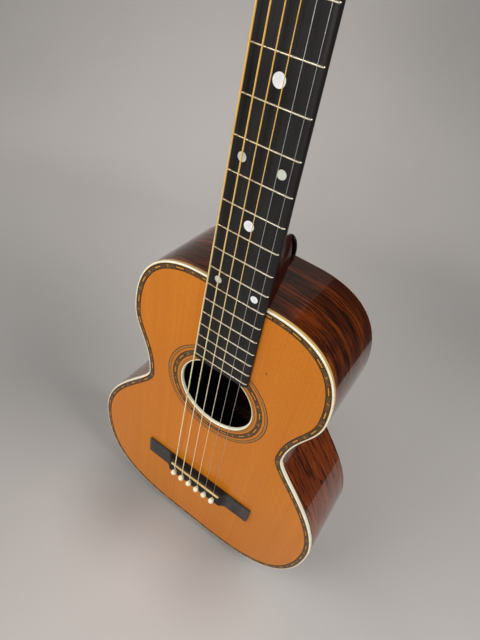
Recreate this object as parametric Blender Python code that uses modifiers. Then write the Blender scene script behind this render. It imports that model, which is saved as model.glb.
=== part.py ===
# Parlor guitar with a slotted head, twelve frets clear of the body.
# Metres. +Z runs up the neck, the soundboard faces -Y, the treble side is at +X.
# The origin is the centre of the end pin's outer face, the lowest point of the guitar.

import math

import bmesh
import bpy
from mathutils import Matrix, Vector

# Clearance between pieces that touch
GAP = 0.0003

# Body outline, heights measured up the centre line from the tail
BODY_LENGTH = 0.4460
UPPER_HALF_WIDTH = 0.1135
UPPER_HEIGHT = 0.3600
WAIST_HALF_WIDTH = 0.0905
WAIST_HEIGHT = 0.2714
LOWER_HALF_WIDTH = 0.1644
LOWER_HEIGHT = 0.1262
SHOULDER_RUN = 0.0310
SHOULDER_REACH = 0.0200
UPPER_FALL = 0.0305
WAIST_RISE = 0.0437
WAIST_FALL = 0.0231
LOWER_RISE = 0.0766
TAIL_RUN = 0.0240
TAIL_REACH = 0.0440
CURVE_STEPS = 8

# Body depth and plates
DEPTH_AT_NECK = 0.0843
DEPTH_AT_TAIL = 0.1010
BACK_RADIUS = 4.5
TOP_THICKNESS = 0.0030
BACK_THICKNESS = 0.0026
SIDE_THICKNESS = 0.0020
BINDING_WIDTH = 0.0018
BINDING_HEIGHT = 0.0042
BACK_BINDING_HEIGHT = 0.0030
PURFLING_WIDTH = 0.0052
PURFLING_DEPTH = 0.0012
LINING_WIDTH = 0.0065
LINING_HEIGHT = 0.0140
LINING_FOOT = 0.0020

# Blocks and braces
BLOCK_HALF_WIDTH = 0.0290
NECK_BLOCK_LENGTH = 0.0450
TAIL_BLOCK_LENGTH = 0.0200
BRACE_WIDTH = 0.0080
BRACE_HEIGHT = 0.0120
BRACE_END_HEIGHT = 0.0040
TOP_BRACE_OFFSET = 0.0200
BRIDGE_BRACE_OFFSET = 0.0550
BACK_BRACE_SHARES = (0.16, 0.39, 0.62, 0.83)

# Soundhole, its cream ring and the rosette's inlaid band
HOLE_BELOW_SHOULDER = 0.1430
HOLE_RADIUS = 0.0456
HOLE_RING_WIDTH = 0.0012
ROSETTE_RADIUS = 0.0512
ROSETTE_WIDTH = 0.0063
ROSETTE_DEPTH = 0.0012
RING_SIDES = 32

# Scale, frets and fingerboard
SCALE_LENGTH = 0.6223
COMPENSATION = 0.0020
FRET_COUNT = 18
JOINT_FRET = 12
JOINT_OVERLAP = 0.0026
NUT_WIDTH = 0.0445
JOINT_WIDTH = 0.0583
BOARD_THICKNESS = 0.0036
BOARD_END = 0.0062
BOARD_CORNER = 0.0030
BOARD_ROLL = 0.0008
FRET_WIDTH = 0.0020
FRET_HEIGHT = 0.0009
FRET_INSET = 0.0006
FRET_SINK = 0.0005

# Neck, heel and dovetail
NECK_DEPTH_AT_NUT = 0.0190
NECK_DEPTH_AT_HEEL = 0.0220
HEEL_CAP_LENGTH = 0.0195
HEEL_CAP_THICKNESS = 0.0025
HEEL_LENGTH = 0.1000
HEEL_FOOT_SHARE = 0.29
TENON_ROOT = 0.0070
TENON_TIP = 0.0100
TENON_LENGTH = 0.0140
TENON_TOP = 0.0085
TENON_DEPTH = 0.0520

# Nut, saddle and bridge
NUT_THICKNESS = 0.0050
NUT_GROOVE = 0.0005
NUT_ACTION = 0.0005
BRIDGE_LENGTH = 0.1620
BRIDGE_WIDTH = 0.0290
BRIDGE_HEIGHT = 0.0080
WING_HEIGHT = 0.0034
WING_START = 0.0500
RAISED_HALF = 0.0410
BRIDGE_FRONT = 0.0081
SADDLE_LENGTH = 0.0770
SADDLE_THICKNESS = 0.0028
SADDLE_HEIGHT = 0.0100
SADDLE_SLOT_DEPTH = 0.0045
PIN_SETBACK = 0.0128
PIN_RADIUS = 0.0023
PIN_TIP_RADIUS = 0.0018
PIN_LENGTH = 0.0230
PIN_BALL_RADIUS = 0.0034
BRIDGE_PLATE_THICKNESS = 0.0023
BRIDGE_PLATE_LENGTH = 0.1500
BRIDGE_PLATE_WIDTH = 0.0340

# Strings, from the bass side to the treble side
STRING_DIAMETERS = (0.00135, 0.00107, 0.00081, 0.00061, 0.00041, 0.00032)
STRING_PITCH_NUT = 0.0076
STRING_PITCH_SADDLE = 0.0124
BALL_RADIUS = 0.0019
BALL_LENGTH = 0.0038

# Slotted head, tipped back from the neck
HEAD_TILT = math.radians(13.0)
HEAD_LENGTH = 0.1720
HEAD_HALF_WIDTH = 0.0310
HEAD_THICKNESS = 0.0170
HEAD_FLARE_LENGTH = 0.0370
HEAD_TOP_EASE = 0.0030
HEAD_TOP_INSET = 0.0006
HEADPLATE_THICKNESS = 0.0020
SLOT_INNER = 0.0070
SLOT_OUTER = 0.0215
SLOT_START = 0.0290
SLOT_END = 0.1450
RAMP_LENGTH = 0.0260
RAMP_DEPTH = 0.0030
RAMP_INSET = 0.0006
RAMP_END = 0.0110
RAMP_SLOPE = math.radians(12.0)

# Tuning machines, three on a plate
FIRST_ROLLER = 0.0580
ROLLER_PITCH = 0.0350
ROLLER_DEPTH = 0.0060
ROLLER_RADIUS = 0.0030
ROLLER_INNER_END = 0.0020
ROLLER_TIP_RADIUS = 0.0022
WINDING_TURNS = 2
STRING_SIDE_ROLLERS = ((0, 0.0182), (1, 0.0156), (2, 0.0132))
PLATE_THICKNESS = 0.0013
PLATE_WIDTH = 0.0127
PLATE_MARGIN = 0.0200
EAR_THICKNESS = 0.0013
EAR_OFFSET = 0.0056
EAR_HALF_WIDTH = 0.0034
GEAR_TEETH = 14
GEAR_MODULE = 0.0010
GEAR_THICKNESS = 0.0028
WORM_PITCH_RADIUS = 0.0025
WORM_OUTER_RADIUS = 0.0031
WORM_CORE_RADIUS = 0.0016
WORM_TURNS = 2
WORM_STEPS = 8
THREAD_HALF_FOOT = 0.0007
SHAFT_END_BELOW_HEAD = 0.0120
BUTTON_GAP_BELOW_HEAD = 0.0035
BUTTON_LENGTH = 0.0165
BUTTON_HALF_WIDTH = 0.0090
BUTTON_HALF_THICKNESS = 0.0045
SCREW_RADIUS = 0.0011
SCREW_HEAD_RADIUS = 0.0022
SCREW_LENGTH = 0.0085
SCREW_HEAD_HEIGHT = 0.0014
SCREW_PAST_MIDDLE = 0.0045
SCREW_SEAT = 0.0004

# End pin
PIN_PROUD = 0.0115
END_PIN_FACE_RADIUS = 0.0052
END_PIN_FLANGE_RADIUS = 0.0068
END_PIN_NECK_RADIUS = 0.0040
END_PIN_SHAFT_RADIUS = 0.0036
END_PIN_LENGTH = 0.0180

# Values that follow from the sizes above
TAIL_Z = PIN_PROUD
SHOULDER_Z = TAIL_Z + BODY_LENGTH
CROWN_AT_CENTRE = LOWER_HALF_WIDTH ** 2 / (2 * BACK_RADIUS)
FRONT_Y = -(DEPTH_AT_TAIL + CROWN_AT_CENTRE) / 2
HOLE_Z = SHOULDER_Z - HOLE_BELOW_SHOULDER
RIM_INSET = BINDING_WIDTH + GAP
FIELD_INSET = RIM_INSET + PURFLING_WIDTH + GAP
LINING_INSET = SIDE_THICKNESS + GAP
INNER_Y = FRONT_Y + TOP_THICKNESS + GAP


def fret_distance(number):
    # equal-tempered distance from the nut
    return SCALE_LENGTH * (1 - 2 ** (-number / 12))


NUT_Z = SHOULDER_Z + fret_distance(JOINT_FRET) - JOINT_OVERLAP
SADDLE_Z = NUT_Z - SCALE_LENGTH - COMPENSATION
PIN_Z = SADDLE_Z - PIN_SETBACK
BOARD_BOTTOM_Y = FRONT_Y - GAP
BOARD_TOP_Y = BOARD_BOTTOM_Y - BOARD_THICKNESS
FRET_TOP_Y = BOARD_TOP_Y - FRET_HEIGHT
BRIDGE_BOTTOM_Y = FRONT_Y - GAP
BRIDGE_TOP_Y = BRIDGE_BOTTOM_Y - BRIDGE_HEIGHT
SADDLE_TOP_Y = BRIDGE_BOTTOM_Y - SADDLE_HEIGHT
NUT_STRING_Y = FRET_TOP_Y - NUT_ACTION
SADDLE_STRING_Y = SADDLE_TOP_Y - GAP
HEAD_Z = NUT_Z + NUT_THICKNESS + GAP
GEAR_PITCH_RADIUS = GEAR_TEETH * GEAR_MODULE / 2
GEAR_TIP_RADIUS = GEAR_PITCH_RADIUS + 0.5 * GEAR_MODULE
GEAR_ROOT_RADIUS = GEAR_PITCH_RADIUS - 1.1 * GEAR_MODULE
WORM_LEAD = math.pi * GEAR_MODULE
WORM_CENTRE = GEAR_PITCH_RADIUS + WORM_PITCH_RADIUS
PLATE_INNER_X = HEAD_HALF_WIDTH + GAP
PLATE_OUTER_X = PLATE_INNER_X + PLATE_THICKNESS
GEAR_MID_X = PLATE_OUTER_X + GAP + WORM_OUTER_RADIUS
GEAR_INNER_X = GEAR_MID_X - GEAR_THICKNESS / 2
ROLLER_TIP_X = GEAR_INNER_X + GEAR_THICKNESS * 0.7


# Collections and materials

def clear_scene():
    for old in list(bpy.data.objects):
        bpy.data.objects.remove(old, do_unlink=True)


clear_scene()
PARTS = bpy.data.collections.new("parlor_guitar")
CUTTERS = bpy.data.collections.new("cutters")
bpy.context.scene.collection.children.link(PARTS)
bpy.context.scene.collection.children.link(CUTTERS)


def make_material(name, colour, roughness, metallic=0.0):
    material = bpy.data.materials.new(name)
    material.use_nodes = True
    shader = material.node_tree.nodes["Principled BSDF"]
    shader.inputs["Base Color"].default_value = (*colour, 1.0)
    shader.inputs["Roughness"].default_value = roughness
    shader.inputs["Metallic"].default_value = metallic
    return material


SPRUCE = make_material("aged_spruce", (0.60, 0.21, 0.032), 0.22)
ROSEWOOD = make_material("rosewood", (0.10, 0.022, 0.008), 0.15)
MAHOGANY = make_material("mahogany", (0.16, 0.045, 0.016), 0.25)
EBONY = make_material("ebony", (0.012, 0.011, 0.011), 0.45)
CREAM = make_material("cream_binding", (0.84, 0.74, 0.46), 0.3)
MARQUETRY = make_material("marquetry", (0.10, 0.055, 0.025), 0.25)
BONE = make_material("bone", (0.80, 0.70, 0.47), 0.35)
INNER_SPRUCE = make_material("pale_spruce", (0.62, 0.42, 0.22), 0.6)
NICKEL = make_material("nickel_silver", (0.72, 0.69, 0.62), 0.25, 1.0)
BRONZE = make_material("bronze_string", (0.78, 0.55, 0.26), 0.3, 1.0)
STEEL = make_material("plain_steel", (0.60, 0.60, 0.60), 0.25, 1.0)
BRASS = make_material("brass", (0.70, 0.50, 0.20), 0.3, 1.0)


# Building blocks

def add_object(name, mesh, material, parent=None):
    made = bpy.data.objects.new(name, mesh)
    PARTS.objects.link(made)
    made.parent = parent
    if material:
        mesh.materials.clear()
        mesh.materials.append(material)
    return made


def as_cutter(made):
    PARTS.objects.unlink(made)
    CUTTERS.objects.link(made)
    made.hide_render = True
    made.display_type = "WIRE"
    return made


def smooth(mesh, degrees=35.0):
    mesh.shade_smooth()
    mesh.set_sharp_from_angle(angle=math.radians(degrees))


def box_mesh(name, low, high):
    shape = bmesh.new()
    bmesh.ops.create_cube(shape, size=1.0)
    low, high = Vector(low), Vector(high)
    size = Matrix.Diagonal((*(high - low), 1.0))
    bmesh.ops.transform(shape, matrix=Matrix.Translation((low + high) / 2) @ size, verts=shape.verts)
    mesh = bpy.data.meshes.new(name)
    shape.to_mesh(mesh)
    shape.free()
    return mesh


def rod_mesh(name, start, end, radius, end_radius=None, sides=16):
    # round bar from one point to another
    start, end = Vector(start), Vector(end)
    along = end - start
    turn = Vector((0, 0, 1)).rotation_difference(along).to_matrix().to_4x4()
    shape = bmesh.new()
    bmesh.ops.create_cone(shape, cap_ends=True, segments=sides, radius1=radius,
                          radius2=radius if end_radius is None else end_radius, depth=along.length)
    bmesh.ops.transform(shape, matrix=Matrix.Translation((start + end) / 2) @ turn, verts=shape.verts)
    mesh = bpy.data.meshes.new(name)
    shape.to_mesh(mesh)
    shape.free()
    smooth(mesh)
    return mesh


def loft_mesh(name, rings, closed=False):
    # skin over rings of equally many points, capped at both ends unless it runs into itself
    shape = bmesh.new()
    made = [[shape.verts.new(point) for point in ring] for ring in rings]
    count = len(rings[0])
    pairs = list(zip(made[:-1], made[1:]))
    if closed:
        pairs.append((made[-1], made[0]))
    for one, two in pairs:
        for i in range(count):
            j = (i + 1) % count
            shape.faces.new((one[i], one[j], two[j], two[i]))
    if not closed:
        shape.faces.new(list(reversed(made[0])))
        shape.faces.new(made[-1])
    bmesh.ops.recalc_face_normals(shape, faces=shape.faces)
    bmesh.ops.triangulate(shape, faces=shape.faces)
    mesh = bpy.data.meshes.new(name)
    shape.to_mesh(mesh)
    shape.free()
    smooth(mesh)
    return mesh


def flat_mesh(name, loops, thickness, place):
    # flat outline with holes, extruded to both sides of its plane and set in place
    outline = bpy.data.curves.new(name, "CURVE")
    outline.dimensions = "2D"
    outline.fill_mode = "BOTH"
    outline.extrude = thickness / 2
    for loop in loops:
        spline = outline.splines.new("POLY")
        spline.points.add(len(loop) - 1)
        for point, (u, v) in zip(spline.points, loop):
            point.co = (u, v, 0, 1)
        spline.use_cyclic_u = True
    return curve_to_mesh(name, outline, place)


def tube_mesh(name, points, radius, resolution=2):
    # wire along a route of points
    route = bpy.data.curves.new(name, "CURVE")
    route.dimensions = "3D"
    route.bevel_depth = radius
    route.bevel_resolution = resolution
    route.use_fill_caps = True
    spline = route.splines.new("POLY")
    spline.points.add(len(points) - 1)
    for point, place in zip(spline.points, points):
        point.co = (*place, 1)
    return curve_to_mesh(name, route, Matrix.Identity(4))


def curve_to_mesh(name, curve, place):
    holder = bpy.data.objects.new(name, curve)
    bpy.context.scene.collection.objects.link(holder)
    bpy.context.view_layer.update()
    evaluated = holder.evaluated_get(bpy.context.evaluated_depsgraph_get())
    mesh = bpy.data.meshes.new_from_object(evaluated)
    bpy.data.objects.remove(holder, do_unlink=True)
    shape = bmesh.new()
    shape.from_mesh(mesh)
    bmesh.ops.remove_doubles(shape, verts=shape.verts, dist=0.00001)
    bmesh.ops.transform(shape, matrix=place, verts=shape.verts)
    bmesh.ops.dissolve_limit(shape, angle_limit=0.0005, verts=shape.verts, edges=shape.edges)
    bmesh.ops.recalc_face_normals(shape, faces=shape.faces)
    shape.to_mesh(mesh)
    shape.free()
    mesh.name = name
    smooth(mesh)
    return mesh


def turned(name, profile, material, sides, place, parent=None):
    # profile of (radius, height) down the outer side, turned about the local Z axis
    mesh = bpy.data.meshes.new(name)
    mesh.from_pydata([(radius, 0.0, height) for radius, height in profile],
                     [(i, i + 1) for i in range(len(profile) - 1)], [])
    made = add_object(name, mesh, material, parent)
    made.matrix_local = place
    lathe = made.modifiers.new("turn", "SCREW")
    lathe.steps = sides
    lathe.render_steps = sides
    lathe.use_merge_vertices = True
    lathe.merge_threshold = 0.00001
    lathe.use_smooth_shade = True
    return made


def turned_mesh(name, profile, sides, place):
    # the same turned shape as a plain mesh, for joining to others
    made = turned(name, profile, None, sides, Matrix.Identity(4))
    bpy.context.view_layer.update()
    evaluated = made.evaluated_get(bpy.context.evaluated_depsgraph_get())
    mesh = bpy.data.meshes.new_from_object(evaluated)
    bpy.data.objects.remove(made, do_unlink=True)
    shape = bmesh.new()
    shape.from_mesh(mesh)
    bmesh.ops.remove_doubles(shape, verts=shape.verts, dist=0.00001)
    shape.to_mesh(mesh)
    shape.free()
    mesh.transform(place)
    mesh.name = name
    return mesh


def joined_mesh(name, meshes):
    # several separate solids in one mesh
    shape = bmesh.new()
    for mesh in meshes:
        shape.from_mesh(mesh)
    mesh = bpy.data.meshes.new(name)
    shape.to_mesh(mesh)
    shape.free()
    smooth(mesh)
    return mesh


def combine(target, operation, mesh, parent=None):
    # cut a mesh out of a part, or join it on
    tool = as_cutter(add_object(mesh.name, mesh, None, parent))
    step = target.modifiers.new(mesh.name, "BOOLEAN")
    step.operation = operation
    step.solver = "EXACT"
    step.object = tool
    return tool


def share_cutter(target, tool):
    step = target.modifiers.new(tool.name, "BOOLEAN")
    step.operation = "DIFFERENCE"
    step.solver = "EXACT"
    step.object = tool


# Matrices that stand a flat outline up: its first axis along X, its second up Z or back along Y
FACE_ON = Matrix(((1, 0, 0, 0), (0, 0, -1, 0), (0, 1, 0, 0), (0, 0, 0, 1)))
SIDE_ON = Matrix(((0, 0, 1, 0), (1, 0, 0, 0), (0, 1, 0, 0), (0, 0, 0, 1)))
ALONG_Y = Matrix(((1, 0, 0, 0), (0, 0, 1, 0), (0, -1, 0, 0), (0, 0, 0, 1)))


def face_on(y):
    return Matrix.Translation((0, y, 0)) @ FACE_ON


# The outline and the two faces of the body

def bezier(start, lead, follow, end, steps):
    points = []
    for i in range(1, steps + 1):
        t = i / steps
        s = 1 - t
        points.append(tuple(s ** 3 * a + 3 * s * s * t * b + 3 * s * t * t * c + t ** 3 * d
                            for a, b, c, d in zip(start, lead, follow, end)))
    return points


def half_outline():
    # treble half, from the tail's centre up round the bouts to the neck's centre
    tail = (TAIL_RUN, TAIL_Z)
    lower = (LOWER_HALF_WIDTH, TAIL_Z + LOWER_HEIGHT)
    waist = (WAIST_HALF_WIDTH, TAIL_Z + WAIST_HEIGHT)
    upper = (UPPER_HALF_WIDTH, TAIL_Z + UPPER_HEIGHT)
    shoulder = (SHOULDER_RUN, SHOULDER_Z)
    points = [(0.0, TAIL_Z), tail]
    points += bezier(tail, (tail[0] + TAIL_REACH, TAIL_Z), (lower[0], TAIL_Z), lower, CURVE_STEPS)
    points += bezier(lower, (lower[0], lower[1] + LOWER_RISE), (waist[0], waist[1] - WAIST_FALL),
                     waist, CURVE_STEPS)
    points += bezier(waist, (waist[0], waist[1] + WAIST_RISE), (upper[0], upper[1] - UPPER_FALL),
                     upper, CURVE_STEPS)
    points += bezier(upper, (upper[0], SHOULDER_Z), (shoulder[0] + SHOULDER_REACH, SHOULDER_Z),
                     shoulder, CURVE_STEPS)
    points.append((0.0, SHOULDER_Z))
    return points


def inset_half(inset):
    # the half outline moved inward by the same distance all round
    points = half_outline()
    before = [(-points[1][0], points[1][1])] + points[:-1]
    after = points[1:] + [(-points[-2][0], points[-2][1])]
    moved = []
    for (ax, az), (px, pz), (bx, bz) in zip(before, points, after):
        one = Vector((pz - az, ax - px)).normalized()
        two = Vector((bz - pz, px - bx)).normalized()
        middle = (one + two).normalized()
        reach = inset / middle.dot(one)
        moved.append((px - middle.x * reach, pz - middle.y * reach))
    return moved


def inset_loop(inset):
    half = inset_half(inset)
    return half + [(-x, z) for x, z in reversed(half[1:-1])]


def half_width_at(z, inset):
    # narrowest half width of the inset outline near a height
    points = inset_half(inset)
    best = 0.0
    for (ax, az), (bx, bz) in zip(points[:-1], points[1:]):
        if (az - z) * (bz - z) <= 0 and az != bz:
            best = max(best, ax + (bx - ax) * (z - az) / (bz - az))
    return best


def back_face(x, z):
    # outer face of the back: tapers from tail to neck and is dished across its width
    share = (z - TAIL_Z) / BODY_LENGTH
    depth = DEPTH_AT_TAIL + (DEPTH_AT_NECK - DEPTH_AT_TAIL) * share
    return FRONT_Y + depth + (LOWER_HALF_WIDTH ** 2 - x * x) / (2 * BACK_RADIUS)


def from_front(depth):
    return lambda x, z: FRONT_Y + depth


def from_back(depth):
    return lambda x, z: back_face(x, z) - depth


def rim_mesh(name, corners):
    # section of (inset, depth function) corners carried right round the body
    loops = [inset_loop(inset) for inset, depth in corners]
    rings = [[(loop[i][0], depth(*loop[i]), loop[i][1]) for loop, (inset, depth) in zip(loops, corners)]
             for i in range(len(loops[0]))]
    return loft_mesh(name, rings, closed=True)


def half_rim_mesh(name, corners, side):
    # the same for one side only, stopping just short of the centre line
    halves = [inset_half(inset) for inset, depth in corners]
    rings = []
    for i in range(len(halves[0])):
        ring = []
        for half, (inset, depth) in zip(halves, corners):
            x, z = half[i]
            ring.append((side * max(x, GAP / 2), depth(x, z), z))
        rings.append(ring)
    return loft_mesh(name, rings)


# Body shell

def make_soundboard():
    rings = [[(x, y, z) for x, z in inset_loop(inset)]
             for inset, y in ((RIM_INSET, FRONT_Y + TOP_THICKNESS),
                              (RIM_INSET, FRONT_Y + PURFLING_DEPTH + GAP),
                              (FIELD_INSET, FRONT_Y + PURFLING_DEPTH + GAP),
                              (FIELD_INSET, FRONT_Y))]
    board = add_object("soundboard", loft_mesh("soundboard", rings), SPRUCE)
    hole = rod_mesh("soundhole_cut", (0, FRONT_Y - 0.01, HOLE_Z), (0, FRONT_Y + 0.01, HOLE_Z),
                    HOLE_RADIUS + GAP, sides=RING_SIDES)
    combine(board, "DIFFERENCE", hole)
    groove = ring_mesh("rosette_groove", ROSETTE_RADIUS - GAP, ROSETTE_RADIUS + ROSETTE_WIDTH + GAP,
                       ROSETTE_DEPTH + GAP + 0.001, -0.001)
    combine(board, "DIFFERENCE", groove)
    return board


def ring_mesh(name, inner, outer, depth, start=0.0):
    # flat ring let into the soundboard, concentric with the hole
    profile = [(inner, depth), (inner, 0.0), (outer, 0.0), (outer, depth), (inner, depth)]
    place = Matrix.Translation((0, FRONT_Y + start, HOLE_Z)) @ ALONG_Y
    return turned_mesh(name, list(reversed(profile)), RING_SIDES, place)


def make_rosette():
    band = ring_mesh("rosette", ROSETTE_RADIUS, ROSETTE_RADIUS + ROSETTE_WIDTH, ROSETTE_DEPTH)
    add_object("rosette", band, MARQUETRY)
    ring = ring_mesh("soundhole_ring", HOLE_RADIUS - HOLE_RING_WIDTH, HOLE_RADIUS, TOP_THICKNESS)
    add_object("soundhole_ring", ring, CREAM)


def make_back():
    # open dished sheet over rows across the body, thickened inward
    half = inset_half(RIM_INSET)[1:-1]
    columns = 6
    points = []
    faces = []
    for x, z in half:
        for j in range(columns + 1):
            across = x * (2 * j / columns - 1)
            points.append((across, back_face(across, z), z))
    for i in range(len(half) - 1):
        for j in range(columns):
            a = i * (columns + 1) + j
            faces.append((a, a + columns + 1, a + columns + 2, a + 1))
    mesh = bpy.data.meshes.new("back_plate")
    mesh.from_pydata(points, [], faces)
    smooth(mesh)
    back = add_object("back_plate", mesh, ROSEWOOD)
    wall = back.modifiers.new("thickness", "SOLIDIFY")
    wall.thickness = BACK_THICKNESS
    wall.offset = -1.0
    wall.use_even_offset = True
    return back


def make_rims():
    section = [(0.0, from_front(BINDING_HEIGHT + GAP)), (SIDE_THICKNESS, from_front(BINDING_HEIGHT + GAP)),
               (SIDE_THICKNESS, from_back(BACK_BINDING_HEIGHT + GAP)),
               (0.0, from_back(BACK_BINDING_HEIGHT + GAP))]
    sides = []
    for name, side in (("side_treble", 1), ("side_bass", -1)):
        sides.append(add_object(name, half_rim_mesh(name, section, side), ROSEWOOD))
    add_object("top_binding", rim_mesh("top_binding", [
        (0.0, from_front(0.0)), (BINDING_WIDTH, from_front(0.0)),
        (BINDING_WIDTH, from_front(BINDING_HEIGHT)), (0.0, from_front(BINDING_HEIGHT))]), CREAM)
    add_object("back_binding", rim_mesh("back_binding", [
        (0.0, from_back(0.0)), (BINDING_WIDTH, from_back(0.0)),
        (BINDING_WIDTH, from_back(BACK_BINDING_HEIGHT)), (0.0, from_back(BACK_BINDING_HEIGHT))]), CREAM)
    add_object("top_purfling", rim_mesh("top_purfling", [
        (RIM_INSET, from_front(0.0)), (RIM_INSET + PURFLING_WIDTH, from_front(0.0)),
        (RIM_INSET + PURFLING_WIDTH, from_front(PURFLING_DEPTH)),
        (RIM_INSET, from_front(PURFLING_DEPTH))]), MARQUETRY)
    return sides


def make_linings_and_braces():
    # triangular lining round each plate's edge, with the braces' ends let into it
    for name, from_plate, seat, braces in (
            ("top_lining_and_braces", from_front, TOP_THICKNESS + GAP, top_braces()),
            ("back_lining_and_braces", from_back, BACK_THICKNESS + GAP, back_braces())):
        section = [(LINING_INSET, from_plate(seat)), (LINING_INSET + LINING_WIDTH, from_plate(seat)),
                   (LINING_INSET + LINING_FOOT, from_plate(seat + LINING_HEIGHT)),
                   (LINING_INSET, from_plate(seat + LINING_HEIGHT))]
        frame = add_object(name, rim_mesh(name, section), INNER_SPRUCE)
        combine(frame, "DIFFERENCE", block_spaces())
        combine(frame, "UNION", joined_mesh(name + "_bars", braces))


def block_spaces():
    room = BLOCK_HALF_WIDTH + GAP
    spaces = []
    for low, high in ((TAIL_Z, TAIL_Z + TAIL_BLOCK_LENGTH + SIDE_THICKNESS),
                      (SHOULDER_Z - NECK_BLOCK_LENGTH, SHOULDER_Z)):
        spaces.append(box_mesh("space", (-room, FRONT_Y, low), (room, FRONT_Y + 2 * DEPTH_AT_TAIL, high)))
    return joined_mesh("block_spaces", spaces)


def block_mesh(name, low, high):
    # block between the plates; its back face follows the back's taper
    half = BLOCK_HALF_WIDTH
    rings = []
    for z in (low, high):
        rear = back_face(half, z) - BACK_THICKNESS - GAP
        rings.append([(-half, INNER_Y, z), (half, INNER_Y, z), (half, rear, z), (-half, rear, z)])
    return loft_mesh(name, rings)


def rim_height_at(x, inset, top):
    # height of the inset outline over a distance from the centre line, at the neck or at the tail
    points = inset_half(inset)
    if top:
        points = list(reversed(points))
    for (ax, az), (bx, bz) in zip(points[:-1], points[1:]):
        if ax <= x <= bx:
            return az + (bz - az) * (x - ax) / max(bx - ax, 1e-9)
    return points[-1][1]


def make_blocks():
    top_of_block = rim_height_at(BLOCK_HALF_WIDTH, LINING_INSET, True)
    neck = block_mesh("neck_block", SHOULDER_Z - NECK_BLOCK_LENGTH + GAP, top_of_block)
    foot_of_block = rim_height_at(BLOCK_HALF_WIDTH, LINING_INSET, False)
    tail = block_mesh("tail_block", foot_of_block, TAIL_Z + SIDE_THICKNESS + TAIL_BLOCK_LENGTH - GAP)
    return add_object("neck_block", neck, MAHOGANY), add_object("tail_block", tail, MAHOGANY)


def brace_mesh(z, face, inward):
    # bar across the body, tapered to its ends, with its foot on the inner face of a plate
    reach = min(half_width_at(z + step, LINING_INSET + LINING_FOOT * 0.6)
                for step in (-BRACE_WIDTH / 2, 0.0, BRACE_WIDTH / 2))
    rings = []
    for share in (-1.0, -0.75, -0.4, 0.0, 0.4, 0.75, 1.0):
        taper = max(0.0, (abs(share) - 0.4) / 0.6)
        height = BRACE_HEIGHT + (BRACE_END_HEIGHT - BRACE_HEIGHT) * taper ** 1.5
        x = reach * share
        low, high = z - BRACE_WIDTH / 2, z + BRACE_WIDTH / 2
        foot_low, foot_high = face(x, low), face(x, high)
        crest = (foot_low + foot_high) / 2 + inward * height
        narrow = BRACE_WIDTH * 0.25
        rings.append([(x, foot_low, low), (x, foot_high, high), (x, crest, z + narrow),
                      (x, crest, z - narrow)])
    return loft_mesh("brace", rings)


def top_braces():
    heights = (SHOULDER_Z - NECK_BLOCK_LENGTH - BRACE_WIDTH, HOLE_Z - HOLE_RADIUS - TOP_BRACE_OFFSET,
               SADDLE_Z + BRIDGE_BRACE_OFFSET, SADDLE_Z - BRIDGE_BRACE_OFFSET)
    return [brace_mesh(z, lambda x, z: INNER_Y, 1) for z in heights]


def back_braces():
    face = from_back(BACK_THICKNESS + GAP)
    return [brace_mesh(TAIL_Z + share * BODY_LENGTH, face, -1) for share in BACK_BRACE_SHARES]


# Neck

def board_half_width(z):
    share = (NUT_Z - z) / fret_distance(JOINT_FRET)
    return (NUT_WIDTH + (JOINT_WIDTH - NUT_WIDTH) * share) / 2


SECTION_STEPS = 5
ROUND_SECTION = [(math.cos(math.pi / 2 * i / SECTION_STEPS), math.sin(math.pi / 2 * i / SECTION_STEPS))
                 for i in range(SECTION_STEPS + 1)]
BOX_SECTION = [(1.0, 0.0), (1.0, 0.45), (1.0, 0.93), (0.96, 1.0), (0.5, 1.0), (0.0, 1.0)]


def heel_section(foot):
    # sides that draw in evenly to a foot of the given share of the width
    section = []
    for x, v in ROUND_SECTION:
        section.append(((1 - foot) * (1 - v) + foot * math.sqrt(max(0.0, 1 - v ** 8)), v))
    return section


def neck_ring(place, half_width, depth, section):
    # section points on both sides of the centre, set in place by a matrix
    right = [Vector((half_width * x, depth * y, 0)) for x, y in section]
    left = [Vector((-p.x, p.y, 0)) for p in reversed(right[:-1])]
    return [tuple(place @ p) for p in right + left]


def blended(one, two, share):
    return [(ax + (bx - ax) * share, ay + (by - ay) * share) for (ax, ay), (bx, by) in zip(one, two)]


def heel_depth():
    return back_face(0, SHOULDER_Z) - FRONT_Y - HEEL_CAP_THICKNESS - GAP


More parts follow.
